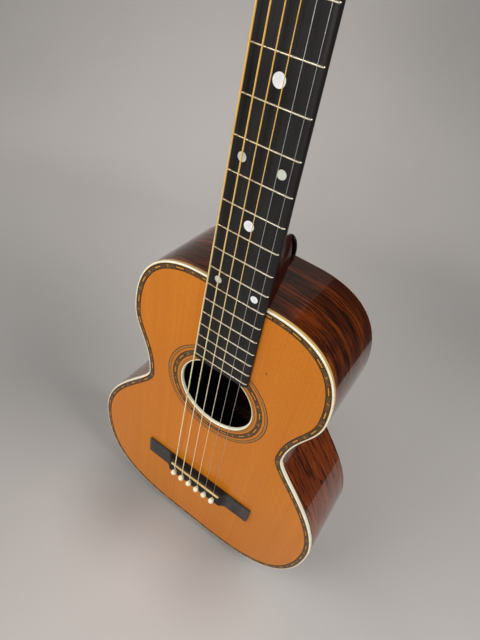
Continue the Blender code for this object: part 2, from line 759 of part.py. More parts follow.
def neck_rings():
    # heel first, then the shaft, then the head tipping back
    rings = []
    full = heel_depth()
    start = SHOULDER_Z + GAP
    for share in (0.0, 0.5, 0.8, 0.96):
        foot = HEEL_FOOT_SHARE * math.sqrt(1 - share ** 2)
        z = start + share * HEEL_CAP_LENGTH
        place = Matrix.Translation((0, FRONT_Y, z))
        rings.append(neck_ring(place, board_half_width(z), full, heel_section(foot)))
    curve = bezier((HEEL_CAP_LENGTH, full), (HEEL_CAP_LENGTH * 1.5, full * 0.60),
                   (HEEL_LENGTH * 0.5, NECK_DEPTH_AT_HEEL), (HEEL_LENGTH, NECK_DEPTH_AT_HEEL), 7)
    for along, depth in curve:
        z = start + along
        softness = (along - HEEL_CAP_LENGTH) / (HEEL_LENGTH - HEEL_CAP_LENGTH)
        section = blended(heel_section(0.0), ROUND_SECTION, min(1.0, softness * 1.6) ** 0.7)
        rings.append(neck_ring(Matrix.Translation((0, FRONT_Y, z)), board_half_width(z), depth, section))
    heel_top = start + HEEL_LENGTH
    for share in (0.5, 0.95):
        z = heel_top + (NUT_Z - heel_top) * share
        depth = NECK_DEPTH_AT_HEEL + (NECK_DEPTH_AT_NUT - NECK_DEPTH_AT_HEEL) * share
        rings.append(neck_ring(Matrix.Translation((0, FRONT_Y, z)), board_half_width(z), depth,
                               ROUND_SECTION))
    place = Matrix.Translation((0, FRONT_Y, HEAD_Z))
    rings.append(neck_ring(place, NUT_WIDTH / 2, NECK_DEPTH_AT_NUT,
                           blended(ROUND_SECTION, BOX_SECTION, 0.15)))
    squareness = [0.5, 0.8] + [1.0] * (len(head_widths()) - 2)
    for (half_width, along), box in zip(head_widths(), squareness):
        place = head_matrix() @ Matrix.Translation((0, 0, along))
        rings.append(neck_ring(place, half_width, HEAD_THICKNESS, blended(ROUND_SECTION, BOX_SECTION, box)))
    return rings


def head_widths():
    # half width of the head and the height up it, flaring out from the neck
    flare = HEAD_HALF_WIDTH - NUT_WIDTH / 2
    widths = [(NUT_WIDTH / 2 + flare * width, HEAD_FLARE_LENGTH * share)
              for share, width in ((0.32, 0.12), (0.49, 0.40), (0.65, 0.75), (0.81, 0.95), (1.0, 1.0))]
    widths.append((HEAD_HALF_WIDTH, HEAD_LENGTH - HEAD_TOP_EASE))
    widths.append((HEAD_HALF_WIDTH - HEAD_TOP_INSET, HEAD_LENGTH))
    return widths


def head_matrix():
    # head frame: X across, Y back through the wood, Z up the head; its origin is behind the nut
    return Matrix.Translation((0, FRONT_Y, HEAD_Z)) @ Matrix.Rotation(-HEAD_TILT, 4, "X")


def tenon_outline(extra):
    start = SHOULDER_Z + GAP + 0.001
    tip = SHOULDER_Z - SIDE_THICKNESS - TENON_LENGTH
    return [(-TENON_ROOT - extra, start), (-TENON_TIP - extra, tip - extra),
            (TENON_TIP + extra, tip - extra), (TENON_ROOT + extra, start)]


def make_neck(sides, block):
    neck = add_object("neck", loft_mesh("neck", neck_rings()), MAHOGANY)
    middle = FRONT_Y + TENON_TOP + TENON_DEPTH / 2
    combine(neck, "UNION", flat_mesh("tenon", [tenon_outline(0.0)], TENON_DEPTH, face_on(middle)))
    mortise = flat_mesh("mortise_cut", [tenon_outline(GAP)], TENON_DEPTH + 2 * GAP, face_on(middle))
    tool = combine(block, "DIFFERENCE", mortise)
    for side in sides:
        share_cutter(side, tool)
    return neck


def make_heel_cap():
    half = board_half_width(SHOULDER_Z) * HEEL_FOOT_SHARE
    steps = 10
    outline = []
    for i in range(steps + 1):
        angle = math.pi * i / steps
        outline.append((half * math.cos(angle), SHOULDER_Z + GAP + HEEL_CAP_LENGTH * 0.97 * math.sin(angle)))
    middle = FRONT_Y + heel_depth() + GAP + HEEL_CAP_THICKNESS / 2
    cap = flat_mesh("heel_cap", [outline], HEEL_CAP_THICKNESS, face_on(middle))
    add_object("heel_cap", cap, EBONY)


def make_fingerboard():
    end = NUT_Z - fret_distance(FRET_COUNT) - BOARD_END
    low = board_half_width(end)
    outline = [(-board_half_width(NUT_Z), NUT_Z - GAP), (-low, end + BOARD_CORNER)]
    outline += [(-low + BOARD_CORNER * (1 - math.cos(a)), end + BOARD_CORNER * (1 - math.sin(a)))
                for a in (math.pi / 6, math.pi / 3, math.pi / 2)]
    outline += [(-x, z) for x, z in reversed(outline)]
    middle = BOARD_BOTTOM_Y - BOARD_THICKNESS / 2
    mesh = flat_mesh("fingerboard", [outline], BOARD_THICKNESS, face_on(middle))
    board = add_object("fingerboard", mesh, EBONY)
    roll_top_edges(mesh)
    combine(board, "UNION", joined_mesh("fret_wires", fret_wires()))


def roll_top_edges(mesh):
    # the board's playing edges are eased
    shape = bmesh.new()
    shape.from_mesh(mesh)
    edges = [edge for edge in shape.edges
             if all(abs(v.co.y - BOARD_TOP_Y) < 1e-6 for v in edge.verts)
             and edge.is_manifold and edge.calc_face_angle() > 0.5
             and all(v.co.z < NUT_Z - 2 * GAP or abs(v.co.x) > 0.4 * NUT_WIDTH for v in edge.verts)
             and abs(edge.verts[0].co.z - edge.verts[1].co.z) > 1e-6]
    bmesh.ops.bevel(shape, geom=edges, offset=BOARD_ROLL, segments=2, profile=0.5, affect="EDGES")
    shape.to_mesh(mesh)
    shape.free()


def fret_wires():
    # low crowns with their feet set into the board
    half = FRET_WIDTH / 2
    base = BOARD_TOP_Y + FRET_SINK
    flank = BOARD_TOP_Y - FRET_HEIGHT * 0.7
    section = [(base, -half), (BOARD_TOP_Y, -half), (flank, -half * 0.7), (FRET_TOP_Y, 0.0),
               (flank, half * 0.7), (BOARD_TOP_Y, half), (base, half)]
    wires = []
    for number in range(1, FRET_COUNT + 1):
        z = NUT_Z - fret_distance(number)
        length = 2 * (board_half_width(z) - FRET_INSET)
        wires.append(flat_mesh("fret", [section], length, Matrix.Translation((0, 0, z)) @ SIDE_ON))
    return wires


# Strings and what carries them

def string_x(index, pitch):
    return (index - (len(STRING_DIAMETERS) - 1) / 2) * pitch


def string_roller(index):
    # side of the head, roller number up the head, and the winding's distance from the centre
    if index < 3:
        return -1, *STRING_SIDE_ROLLERS[index]
    return 1, *STRING_SIDE_ROLLERS[5 - index]


def winding_radius(diameter):
    return ROLLER_RADIUS + diameter


def slot_z(diameter):
    # a string goes down through the bridge just in front of its pin
    return PIN_Z + PIN_RADIUS + GAP + diameter / 2


def ball_centre(index):
    # the ball end sits under the bridge plate, in front of its pin
    return (string_x(index, STRING_PITCH_SADDLE), INNER_Y + BRIDGE_PLATE_THICKNESS + GAP + BALL_RADIUS,
            PIN_Z + PIN_RADIUS + GAP + BALL_RADIUS)


def string_points(index):
    diameter = STRING_DIAMETERS[index]
    radius = diameter / 2
    x_nut = string_x(index, STRING_PITCH_NUT)
    x_saddle = string_x(index, STRING_PITCH_SADDLE)
    side, roller, x_winding = string_roller(index)
    s = FIRST_ROLLER + roller * ROLLER_PITCH
    above = winding_radius(diameter) + GAP + radius
    tangent = head_matrix() @ Vector((side * x_winding, ROLLER_DEPTH - above, s))
    nut_y = NUT_STRING_Y - radius
    saddle_y = SADDLE_STRING_Y - radius
    down = slot_z(diameter)
    bottom = ball_centre(index)[1]
    bend = SADDLE_THICKNESS / 2
    return [tangent,
            (x_nut, nut_y + 0.0002, NUT_Z + NUT_THICKNESS * 0.8),
            (x_nut, nut_y, NUT_Z),
            (x_saddle, saddle_y, SADDLE_Z + bend * 0.5),
            (x_saddle, saddle_y + 0.0002, SADDLE_Z - bend * 0.5),
            (x_saddle, BRIDGE_TOP_Y - GAP - radius, down),
            (x_saddle, bottom, down)]


def make_strings():
    for index, diameter in enumerate(STRING_DIAMETERS):
        name = "string_%d" % (len(STRING_DIAMETERS) - index)
        wire = tube_mesh(name, string_points(index), diameter / 2, resolution=1)
        string = add_object(name, wire, BRONZE if index < 4 else STEEL)
        x, y, z = ball_centre(index)
        half = BALL_LENGTH / 2
        ball = rod_mesh("ball", (x - half, y, z), (x + half, y, z), BALL_RADIUS, sides=8)
        combine(string, "UNION", ball)


def make_nut():
    half = NUT_WIDTH / 2
    top = NUT_STRING_Y - NUT_GROOVE
    block = box_mesh("nut", (-half, top, NUT_Z), (half, FRONT_Y - GAP, NUT_Z + NUT_THICKNESS))
    nut = add_object("nut", block, BONE)
    grooves = []
    for index, diameter in enumerate(STRING_DIAMETERS):
        before, crest, front, after = string_points(index)[:4]
        away = Vector(before) - Vector(crest)
        ahead = Vector(after) - Vector(front)
        route = [Vector(crest) + away.normalized() * NUT_THICKNESS, Vector(crest), Vector(front),
                 Vector(front) + ahead.normalized() * NUT_THICKNESS]
        grooves.append(tube_mesh("groove", route, diameter / 2 + GAP, resolution=0))
    combine(nut, "DIFFERENCE", joined_mesh("nut_grooves", grooves))


def bridge_outline():
    # thickness profile across the bridge, with scooped wings
    ends = BRIDGE_LENGTH / 2
    bottom = BRIDGE_BOTTOM_Y
    wing = bottom - WING_HEIGHT
    curve = bezier((WING_START, wing), (WING_START - 0.005, wing),
                   (RAISED_HALF + 0.0015, BRIDGE_TOP_Y + 0.0010), (RAISED_HALF, BRIDGE_TOP_Y), 5)
    right = [(ends, bottom), (ends, wing + 0.0010), (ends - 0.0015, wing + 0.0003), (WING_START, wing)]
    right += curve
    return right + [(-x, y) for x, y in reversed(right)]


def make_bridge(soundboard):
    middle = SADDLE_Z + BRIDGE_FRONT - BRIDGE_WIDTH / 2
    bridge = add_object("bridge", flat_mesh("bridge", [bridge_outline()], BRIDGE_WIDTH,
                                            Matrix.Translation((0, 0, middle))), EBONY)
    half_slot = SADDLE_LENGTH / 2 + GAP
    thick = SADDLE_THICKNESS / 2 + GAP
    slot_floor = BRIDGE_TOP_Y + SADDLE_SLOT_DEPTH
    combine(bridge, "DIFFERENCE", box_mesh("saddle_slot", (-half_slot, BRIDGE_TOP_Y - 0.01, SADDLE_Z - thick),
                                           (half_slot, slot_floor, SADDLE_Z + thick)))
    half = SADDLE_LENGTH / 2
    crown = SADDLE_THICKNESS / 2
    edge = SADDLE_TOP_Y + crown * 0.6
    section = [(slot_floor - GAP, -crown), (slot_floor - GAP, crown), (edge, crown),
               (SADDLE_TOP_Y, crown * 0.5), (SADDLE_TOP_Y, -crown * 0.5), (edge, -crown)]
    saddle = flat_mesh("saddle", [section], 2 * half, Matrix.Translation((0, 0, SADDLE_Z)) @ SIDE_ON)
    add_object("saddle", saddle, BONE)
    plate_low = (-BRIDGE_PLATE_LENGTH / 2, INNER_Y, middle - BRIDGE_PLATE_WIDTH / 2)
    plate_high = (BRIDGE_PLATE_LENGTH / 2, INNER_Y + BRIDGE_PLATE_THICKNESS, middle + BRIDGE_PLATE_WIDTH / 2)
    plate = add_object("bridge_plate", box_mesh("bridge_plate", plate_low, plate_high), INNER_SPRUCE)
    holes = []
    slots = []
    for index, diameter in enumerate(STRING_DIAMETERS):
        x = string_x(index, STRING_PITCH_SADDLE)
        low, high = BRIDGE_TOP_Y - 0.01, INNER_Y + 0.01
        holes.append(rod_mesh("hole", (x, low, PIN_Z), (x, high, PIN_Z), PIN_RADIUS + GAP, sides=8))
        z = slot_z(diameter)
        slots.append(rod_mesh("slot", (x, low, z), (x, high, z), diameter / 2 + GAP * 1.2, sides=6))
    hole_tool = combine(bridge, "DIFFERENCE", joined_mesh("pin_holes", holes))
    slot_tool = combine(bridge, "DIFFERENCE", joined_mesh("string_slots", slots))
    for target in (soundboard, plate):
        share_cutter(target, hole_tool)
        share_cutter(target, slot_tool)


def make_pins():
    ball = PIN_BALL_RADIUS
    profile = [(0.0, 0.0)]
    profile += [(ball * math.sin(a), ball * (math.cos(a) - 1)) for a in (0.6, 1.2, 1.9, 2.4)]
    shaft_top = -2 * ball
    tip = shaft_top - PIN_LENGTH
    profile += [(PIN_RADIUS, shaft_top), (PIN_TIP_RADIUS, tip), (0.0, tip)]
    for index in range(len(STRING_DIAMETERS)):
        x = string_x(index, STRING_PITCH_SADDLE)
        place = Matrix.Translation((x, BRIDGE_TOP_Y - 2 * ball, PIN_Z)) @ Matrix.Rotation(math.pi / 2, 4, "X")
        turned("bridge_pin_%d" % (len(STRING_DIAMETERS) - index), profile, BONE, 8, place)


# Head and tuning machines

def slot_loop(side):
    # long slot with round ends
    middle = (SLOT_INNER + SLOT_OUTER) / 2
    radius = (SLOT_OUTER - SLOT_INNER) / 2
    loop = []
    for start, centre in ((0.0, SLOT_END - radius), (math.pi, SLOT_START + radius)):
        for i in range(6):
            a = start + math.pi * i / 5
            loop.append((side * middle + radius * math.cos(a), centre + radius * math.sin(a)))
    return loop


def make_head(neck, head):
    outline = [(NUT_WIDTH / 2, GAP)] + head_widths()
    outline += [(-x, s) for x, s in reversed(outline)]
    middle = -GAP - HEADPLATE_THICKNESS / 2
    plate = add_object("headplate", flat_mesh("headplate", [outline], HEADPLATE_THICKNESS, face_on(middle)),
                       ROSEWOOD, head)
    depth = HEAD_THICKNESS * 3
    slots = [flat_mesh("slot", [slot_loop(side)], depth, face_on(0.0)) for side in (-1, 1)]
    slot_tool = combine(neck, "DIFFERENCE", joined_mesh("head_slots", slots), head)
    ramps = []
    for side in (-1, 1):
        x = sorted((side * (SLOT_INNER + RAMP_INSET), side * (SLOT_OUTER - RAMP_INSET)))
        ramp = box_mesh("ramp", (x[0], -HEAD_THICKNESS, -RAMP_LENGTH), (x[1], 0.0, RAMP_END / 2))
        foot = Matrix.Translation((0, RAMP_DEPTH, SLOT_START + RAMP_END / 2))
        ramp.transform(foot @ Matrix.Rotation(-RAMP_SLOPE, 4, "X"))
        ramps.append(ramp)
    ramp_tool = combine(neck, "DIFFERENCE", joined_mesh("string_ramps", ramps), head)
    share_cutter(plate, slot_tool)
    share_cutter(plate, ramp_tool)
    bores = []
    for side in (-1, 1):
        for k in range(3):
            s = FIRST_ROLLER + k * ROLLER_PITCH
            low = side * (ROLLER_INNER_END - GAP)
            bores.append(rod_mesh("bore", (low, ROLLER_DEPTH, s), (side * GEAR_MID_X, ROLLER_DEPTH, s),
                                  ROLLER_RADIUS + GAP, sides=8))
        for s in screw_heights():
            inner = PLATE_OUTER_X - SCREW_SEAT - SCREW_LENGTH - GAP
            bores.append(rod_mesh("bore", (side * inner, ROLLER_DEPTH, s),
                                  (side * GEAR_MID_X, ROLLER_DEPTH, s), SCREW_RADIUS + GAP, sides=6))
    combine(neck, "DIFFERENCE", joined_mesh("head_bores", bores), head)


def screw_heights():
    first = FIRST_ROLLER - PLATE_MARGIN * 0.75
    last = FIRST_ROLLER + 2 * ROLLER_PITCH + PLATE_MARGIN * 0.9
    between = [FIRST_ROLLER + ROLLER_PITCH * share + SCREW_PAST_MIDDLE for share in (0.5, 1.5)]
    return first, *between, last


def make_plate(name, side, head):
    # strip with two ears at each worm and its four screws, bored for the rollers and worms
    low = FIRST_ROLLER - PLATE_MARGIN
    high = FIRST_ROLLER + 2 * ROLLER_PITCH + PLATE_MARGIN * 1.15
    strip = box_mesh(name, (PLATE_INNER_X, ROLLER_DEPTH - PLATE_WIDTH / 2, low),
                     (PLATE_OUTER_X, ROLLER_DEPTH + PLATE_WIDTH / 2, high))
    plate = add_object(name, mirrored(strip, side), BRASS, head)
    ears = []
    holes = []
    for k in range(3):
        s = FIRST_ROLLER + k * ROLLER_PITCH
        worm = s + WORM_CENTRE
        root = PLATE_INNER_X + PLATE_THICKNESS / 2
        for step in (-1, 1):
            y = ROLLER_DEPTH + step * EAR_OFFSET
            ears.append(box_mesh("ear", (root, y - EAR_THICKNESS / 2, worm - EAR_HALF_WIDTH),
                                 (GEAR_MID_X + EAR_HALF_WIDTH, y + EAR_THICKNESS / 2, worm + EAR_HALF_WIDTH)))
        before, behind = ROLLER_DEPTH - 0.02, ROLLER_DEPTH + 0.02
        holes.append(rod_mesh("hole", (GEAR_MID_X, before, worm), (GEAR_MID_X, behind, worm),
                              WORM_CORE_RADIUS + GAP, sides=8))
        holes.append(rod_mesh("hole", (root - 0.01, ROLLER_DEPTH, s), (root + 0.01, ROLLER_DEPTH, s),
                              ROLLER_RADIUS + GAP, sides=8))
    combine(plate, "UNION", mirrored(joined_mesh(name + "_ears", ears), side), head)
    combine(plate, "DIFFERENCE", mirrored(joined_mesh(name + "_holes", holes), side), head)
    combine(plate, "UNION", mirrored(joined_mesh(name + "_screws", screw_meshes()), side), head)


def mirrored(mesh, side):
    if side < 0:
        mesh.transform(Matrix.Scale(-1, 4, (1, 0, 0)))
        mesh.flip_normals()
    return mesh


def screw_meshes():
    profile = [(0.0, SCREW_HEAD_HEIGHT), (SCREW_HEAD_RADIUS * 0.7, SCREW_HEAD_HEIGHT * 0.8),
               (SCREW_HEAD_RADIUS, 0.0), (SCREW_RADIUS, 0.0), (SCREW_RADIUS, -SCREW_LENGTH * 0.8),
               (0.0, -SCREW_LENGTH)]
    turn = Matrix.Rotation(math.pi / 2, 4, "Y")
    seats = [Matrix.Translation((PLATE_OUTER_X - SCREW_SEAT, ROLLER_DEPTH, s)) for s in screw_heights()]
    return [turned_mesh("screw", profile, 6, seat @ turn) for seat in seats]


def roller_profile(x_winding, diameter):
    # shaft from its geared end inward, with a few turns of string lying side by side on it
    shoulder = GEAR_INNER_X - GAP
    profile = [(0.0, ROLLER_TIP_X), (ROLLER_TIP_RADIUS, ROLLER_TIP_X), (ROLLER_TIP_RADIUS, shoulder),
               (ROLLER_RADIUS, shoulder)]
    high = x_winding + WINDING_TURNS * diameter / 2
    profile.append((ROLLER_RADIUS, high))
    for turn in range(WINDING_TURNS):
        start = high - turn * diameter
        crest = winding_radius(diameter)
        profile += [(crest, start - diameter * 0.25), (crest, start - diameter * 0.75)]
        if turn < WINDING_TURNS - 1:
            profile.append((ROLLER_RADIUS + diameter * 0.55, start - diameter))
    return profile + [(ROLLER_RADIUS, high - WINDING_TURNS * diameter), (ROLLER_RADIUS, ROLLER_INNER_END),
                      (0.0, ROLLER_INNER_END)]


def make_rollers(head):
    for index, diameter in enumerate(STRING_DIAMETERS):
        number = len(STRING_DIAMETERS) - index
        side, k, x_winding = string_roller(index)
        s = FIRST_ROLLER + k * ROLLER_PITCH
        place = Matrix.Translation((0, ROLLER_DEPTH, s)) @ Matrix.Rotation(side * math.pi / 2, 4, "Y")
        turned("roller_%d" % number, roller_profile(x_winding, diameter), STEEL, 8, place, head)
        make_gear("gear_%d" % number, side, s, head)
        make_worm("worm_%d" % number, side, s, head)
        make_button("button_%d" % number, side, s, head)


def gear_loop():
    # straight flanks; a tooth space faces the worm
    loop = []
    step = 2 * math.pi / GEAR_TEETH
    tip = 0.00040 / GEAR_TIP_RADIUS
    root = 0.00078 / GEAR_ROOT_RADIUS
    for tooth in range(GEAR_TEETH):
        middle = math.pi / 2 + (tooth + 0.5) * step
        for angle, radius in ((-root, GEAR_ROOT_RADIUS), (-tip, GEAR_TIP_RADIUS), (tip, GEAR_TIP_RADIUS),
                              (root, GEAR_ROOT_RADIUS)):
            loop.append((radius * math.cos(middle + angle), radius * math.sin(middle + angle)))
    return loop


def make_gear(name, side, s, head):
    # wheel with the screw that holds it, bored from behind for the roller's end
    wheel = flat_mesh(name, [gear_loop()], GEAR_THICKNESS, Matrix.Translation((GEAR_MID_X, 0, 0)) @ SIDE_ON)
    gear = add_object(name, mirrored(wheel, side), BRASS, head)
    gear.location = (0, ROLLER_DEPTH, s)
    face = GEAR_INNER_X + GEAR_THICKNESS
    head_radius = ROLLER_TIP_RADIUS * 1.4
    profile = [(0.0, face + SCREW_HEAD_HEIGHT), (head_radius * 0.75, face + SCREW_HEAD_HEIGHT * 0.8),
               (head_radius, face + GAP / 2), (head_radius, face - SCREW_SEAT), (0.0, face - SCREW_SEAT)]
    screw = turned_mesh("gear_screw", profile, 6, Matrix.Rotation(math.pi / 2, 4, "Y"))
    combine(gear, "UNION", mirrored(screw, side), head).location = gear.location
    bore = rod_mesh("gear_bore", (GEAR_INNER_X - 0.001, 0, 0), (ROLLER_TIP_X + GAP, 0, 0),
                    ROLLER_TIP_RADIUS + GAP, sides=8)
    combine(gear, "DIFFERENCE", mirrored(bore, side), head).location = gear.location


def thread_mesh():
    # triangular thread wound right-handed about Y; it crosses the gear's side at the middle
    sections = []
    count = int(WORM_TURNS * WORM_STEPS)
    for i in range(count + 1):
        turn = i / WORM_STEPS - WORM_TURNS / 2
        a = 2 * math.pi * turn + math.pi
        y = WORM_LEAD * turn
        outward = Vector((math.sin(a), 0, math.cos(a)))
        inner = outward * (WORM_CORE_RADIUS - 0.0003)
        along = Vector((0, y, 0))
        flank = Vector((0, THREAD_HALF_FOOT, 0))
        sections.append([inner + along - flank, inner + along + flank, outward * WORM_OUTER_RADIUS + along])
    return loft_mesh("thread", [[tuple(p) for p in ring] for ring in sections])


def make_worm(name, side, s, head):
    front = -EAR_OFFSET - EAR_THICKNESS
    rear = HEAD_THICKNESS + SHAFT_END_BELOW_HEAD - ROLLER_DEPTH
    shaft = rod_mesh("shaft", (0, front, 0), (0, rear, 0), WORM_CORE_RADIUS, sides=8)
    worm = add_object(name, shaft, NICKEL, head)
    worm.location = (side * GEAR_MID_X, ROLLER_DEPTH, s + WORM_CENTRE)
    thread = combine(worm, "UNION", thread_mesh(), head)
    thread.location = worm.location


def make_button(name, side, s, head):
    # oval grip with a short collar, bored for the worm's shaft
    start = HEAD_THICKNESS + BUTTON_GAP_BELOW_HEAD - ROLLER_DEPTH
    collar = [(0.0, 0.0), (0.0028, 0.0), (0.0032, 0.0060), (0.0, 0.0060)]
    down = Matrix.Translation((0, start, 0)) @ Matrix.Rotation(math.pi / 2, 4, "X")
    grip = bmesh.new()
    bmesh.ops.create_uvsphere(grip, u_segments=8, v_segments=6, radius=1.0)
    size = Matrix.Diagonal((BUTTON_HALF_THICKNESS, (BUTTON_LENGTH - 0.0045) / 2, BUTTON_HALF_WIDTH, 1.0))
    centre = Matrix.Translation((0, start + 0.0045 + (BUTTON_LENGTH - 0.0045) / 2, 0))
    bmesh.ops.transform(grip, matrix=centre @ size, verts=grip.verts)
    mesh = bpy.data.meshes.new(name)
    grip.to_mesh(mesh)
    grip.free()
    smooth(mesh)
    button = add_object(name, mesh, BONE, head)
    button.location = (side * GEAR_MID_X, ROLLER_DEPTH, s + WORM_CENTRE)
    collar_tool = combine(button, "UNION", turned_mesh("collar", [(r, -h) for r, h in collar], 8, down), head)
    collar_tool.location = button.location
    rear = HEAD_THICKNESS + SHAFT_END_BELOW_HEAD - ROLLER_DEPTH
    bore = combine(button, "DIFFERENCE", rod_mesh("bore", (0, start - 0.005, 0), (0, rear + GAP, 0),
                                                  WORM_CORE_RADIUS + GAP, sides=8), head)
    bore.location = button.location


def make_end_pin(sides, block):
    flange = PIN_PROUD - GAP
    profile = [(0.0, flange + END_PIN_LENGTH), (END_PIN_SHAFT_RADIUS * 0.85, flange + END_PIN_LENGTH),
               (END_PIN_SHAFT_RADIUS, flange), (END_PIN_FLANGE_RADIUS, flange),
               (END_PIN_FLANGE_RADIUS, flange - 0.0018), (END_PIN_NECK_RADIUS, flange - 0.0035),
               (END_PIN_NECK_RADIUS, flange - 0.0060), (END_PIN_FACE_RADIUS + 0.0012, 0.0025),
               (END_PIN_FACE_RADIUS, 0.0), (0.0, 0.0)]
    turned("end_pin", profile, EBONY, 12, Matrix.Identity(4))
    bore = rod_mesh("end_pin_bore", (0, 0, GAP), (0, 0, TAIL_Z + 2 * TAIL_BLOCK_LENGTH),
                    END_PIN_SHAFT_RADIUS + GAP, sides=12)
    tool = combine(block, "DIFFERENCE", bore)
    for side in sides:
        share_cutter(side, tool)


def build():
    soundboard = make_soundboard()
    make_rosette()
    make_back()
    sides = make_rims()
    make_linings_and_braces()
    neck_block, tail_block = make_blocks()
    neck = make_neck(sides, neck_block)
    make_heel_cap()
    make_fingerboard()
    make_bridge(soundboard)
    make_pins()
    make_nut()
    make_strings()
    head = bpy.data.objects.new("head_frame", None)
    PARTS.objects.link(head)
    head.matrix_world = head_matrix()
    bpy.context.view_layer.update()
    make_head(neck, head)
    for name, side in (("tuner_plate_treble", 1), ("tuner_plate_bass", -1)):
        make_plate(name, side, head)
    make_rollers(head)
    make_end_pin(sides, tail_block)


build()
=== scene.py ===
# Parlor guitar with a slotted head: the shapes and finishes that show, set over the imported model.
# Metres. +Z runs up the neck, the soundboard faces -Y, the treble side is at +X.
import math

import bmesh
import bpy
import numpy as np
from mathutils import Matrix, Vector


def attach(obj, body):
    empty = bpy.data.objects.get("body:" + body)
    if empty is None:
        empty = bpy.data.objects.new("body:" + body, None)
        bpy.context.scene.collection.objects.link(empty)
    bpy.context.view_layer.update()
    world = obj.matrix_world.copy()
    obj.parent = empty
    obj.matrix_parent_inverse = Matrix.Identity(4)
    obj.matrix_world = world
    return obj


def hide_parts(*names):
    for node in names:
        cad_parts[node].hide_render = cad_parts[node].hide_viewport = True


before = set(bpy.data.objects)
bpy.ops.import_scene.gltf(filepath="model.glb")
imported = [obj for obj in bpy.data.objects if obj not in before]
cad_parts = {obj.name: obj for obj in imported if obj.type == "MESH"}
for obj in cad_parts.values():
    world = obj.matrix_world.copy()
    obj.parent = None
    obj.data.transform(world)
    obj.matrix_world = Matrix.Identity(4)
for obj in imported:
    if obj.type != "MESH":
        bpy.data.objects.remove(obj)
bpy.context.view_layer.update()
print("frame loaded")

gap = 0.0003                        # clearance between pieces that touch
sharpAngle = math.radians(35.0)     # edges past it stay sharp


# Meshes from whole arrays

def newObject(name, data):
    made = bpy.data.objects.new(name, data)
    bpy.context.scene.collection.objects.link(made)
    return made


def together(*parts):
    # arrays spread over each other's shape, then stacked as the coordinates of each point
    return np.stack(np.broadcast_arrays(*parts), -1)


def gridPiece(name, points, uv=None, closeU=False, closeV=False, caps=False):
    # surface over a grid of points, row by row; closed ways run back into their first row or column
    if uv is None:
        uv = np.zeros(points.shape[:2] + (2,))
    for way, closed in enumerate((closeU, closeV)):
        if closed:
            points, uv = [np.concatenate([part, part.take([0], way)], way) for part in (points, uv)]
    index = np.arange(points[..., 0].size).reshape(points.shape[:2])
    quads = np.stack([index[:-1, :-1], index[:-1, 1:], index[1:, 1:], index[1:, :-1]], -1)
    faces = quads.reshape(-1, 4).tolist()
    if caps:
        ends = index[:, :-1] if closeV else index
        faces += [ends[0][::-1].tolist(), ends[-1].tolist()]
    mesh = bpy.data.meshes.new(name)
    mesh.from_pydata(points.reshape(-1, 3).tolist(), [], faces)
    corners = np.zeros(len(mesh.loops), int)
    mesh.loops.foreach_get("vertex_index", corners)
    mesh.uv_layers.new(name="UVMap").data.foreach_set("uv", uv.reshape(-1, 2)[corners].ravel())
    tidyMesh(mesh)
    return newObject(name, mesh)


def tidyMesh(mesh):
    # seams and poles welded, faces turned outwards
    shape = bmesh.new()
    shape.from_mesh(mesh)
    bmesh.ops.remove_doubles(shape, verts=shape.verts, dist=2e-7)
    bmesh.ops.dissolve_degenerate(shape, dist=1e-8, edges=shape.edges)
    bmesh.ops.recalc_face_normals(shape, faces=shape.faces)
    shape.to_mesh(mesh)
    shape.free()
    mesh.shade_smooth()
    mesh.set_sharp_from_angle(angle=sharpAngle)


def joined(name, pieces):
    # several meshes in one piece
    shape = bmesh.new()
    for piece in pieces:
        shape.from_mesh(piece.data)
        bpy.data.objects.remove(piece)
    mesh = bpy.data.meshes.new(name)
    shape.to_mesh(mesh)
    shape.free()
    mesh.set_sharp_from_angle(angle=sharpAngle)
    return newObject(name, mesh)


def moved(points, matrix):
    # each point turned and shifted by the matrix
    return points @ np.array(matrix.to_3x3()).T + np.array(matrix.translation)


def unit(vectors):
    return vectors / np.maximum(np.linalg.norm(vectors, axis=-1, keepdims=True), 1e-12)


def lengthsAlong(path):
    return np.concatenate([[0], np.cumsum(np.linalg.norm(np.diff(path, axis=0), axis=1))])


def bezier(start, lead, follow, end, steps):
    # s^3 a + 3 s^2 t b + 3 s t^2 c + t^3 d, with s = 1 - t, leaving out the first point
    t = np.arange(1, steps + 1)[:, None] / steps
    s = 1 - t
    a, b, c, d = np.array([start, lead, follow, end], float)
    return s ** 3 * a + 3 * s * s * t * b + 3 * s * t * t * c + t ** 3 * d


def eased(points, reach, steps=4):
    # each inner corner becomes (1-t)^2 a + 2 t (1-t) corner + t^2 b, from reach before it to reach after it
    points = np.asarray(points, float)
    corner = points[1:-1]

    def short(other):
        way = other - corner
        length = np.maximum(np.linalg.norm(way, axis=-1, keepdims=True), 1e-12)
        return (corner + way * np.minimum(reach / length, 0.45))[:, None]
    t = np.linspace(0, 1, steps + 1)[None, :, None]
    curve = (1 - t) ** 2 * short(points[:-2]) + 2 * t * (1 - t) * corner[:, None] + t * t * short(points[2:])
    return np.concatenate([points[:1], curve.reshape(-1, points.shape[1]), points[-1:]])


def easedLoop(points, reach, steps=4):
    points = np.asarray(points, float)
    return eased(np.concatenate([points[-1:], points, points[:1]]), reach, steps)[1:-1]


def boxLoop(u, v):
    # outline of a rectangle from its two ranges
    return [(u[0], v[0]), (u[1], v[0]), (u[1], v[1]), (u[0], v[1])]


def insetLoop(loop, inset):
    # closed outline moved inward by the same distance, along the mitre of the two edge normals
    after = np.roll(loop, -1, 0)
    area = np.sum(loop[:, 0] * after[:, 1] - after[:, 0] * loop[:, 1])
    edge = unit(after - loop)
    normal = np.stack([-edge[:, 1], edge[:, 0]], -1) * np.sign(area)
    before = np.roll(normal, 1, 0)
    middle = unit(before + normal)
    return loop + middle * inset / np.maximum(np.sum(middle * before, -1, keepdims=True), 0.3)


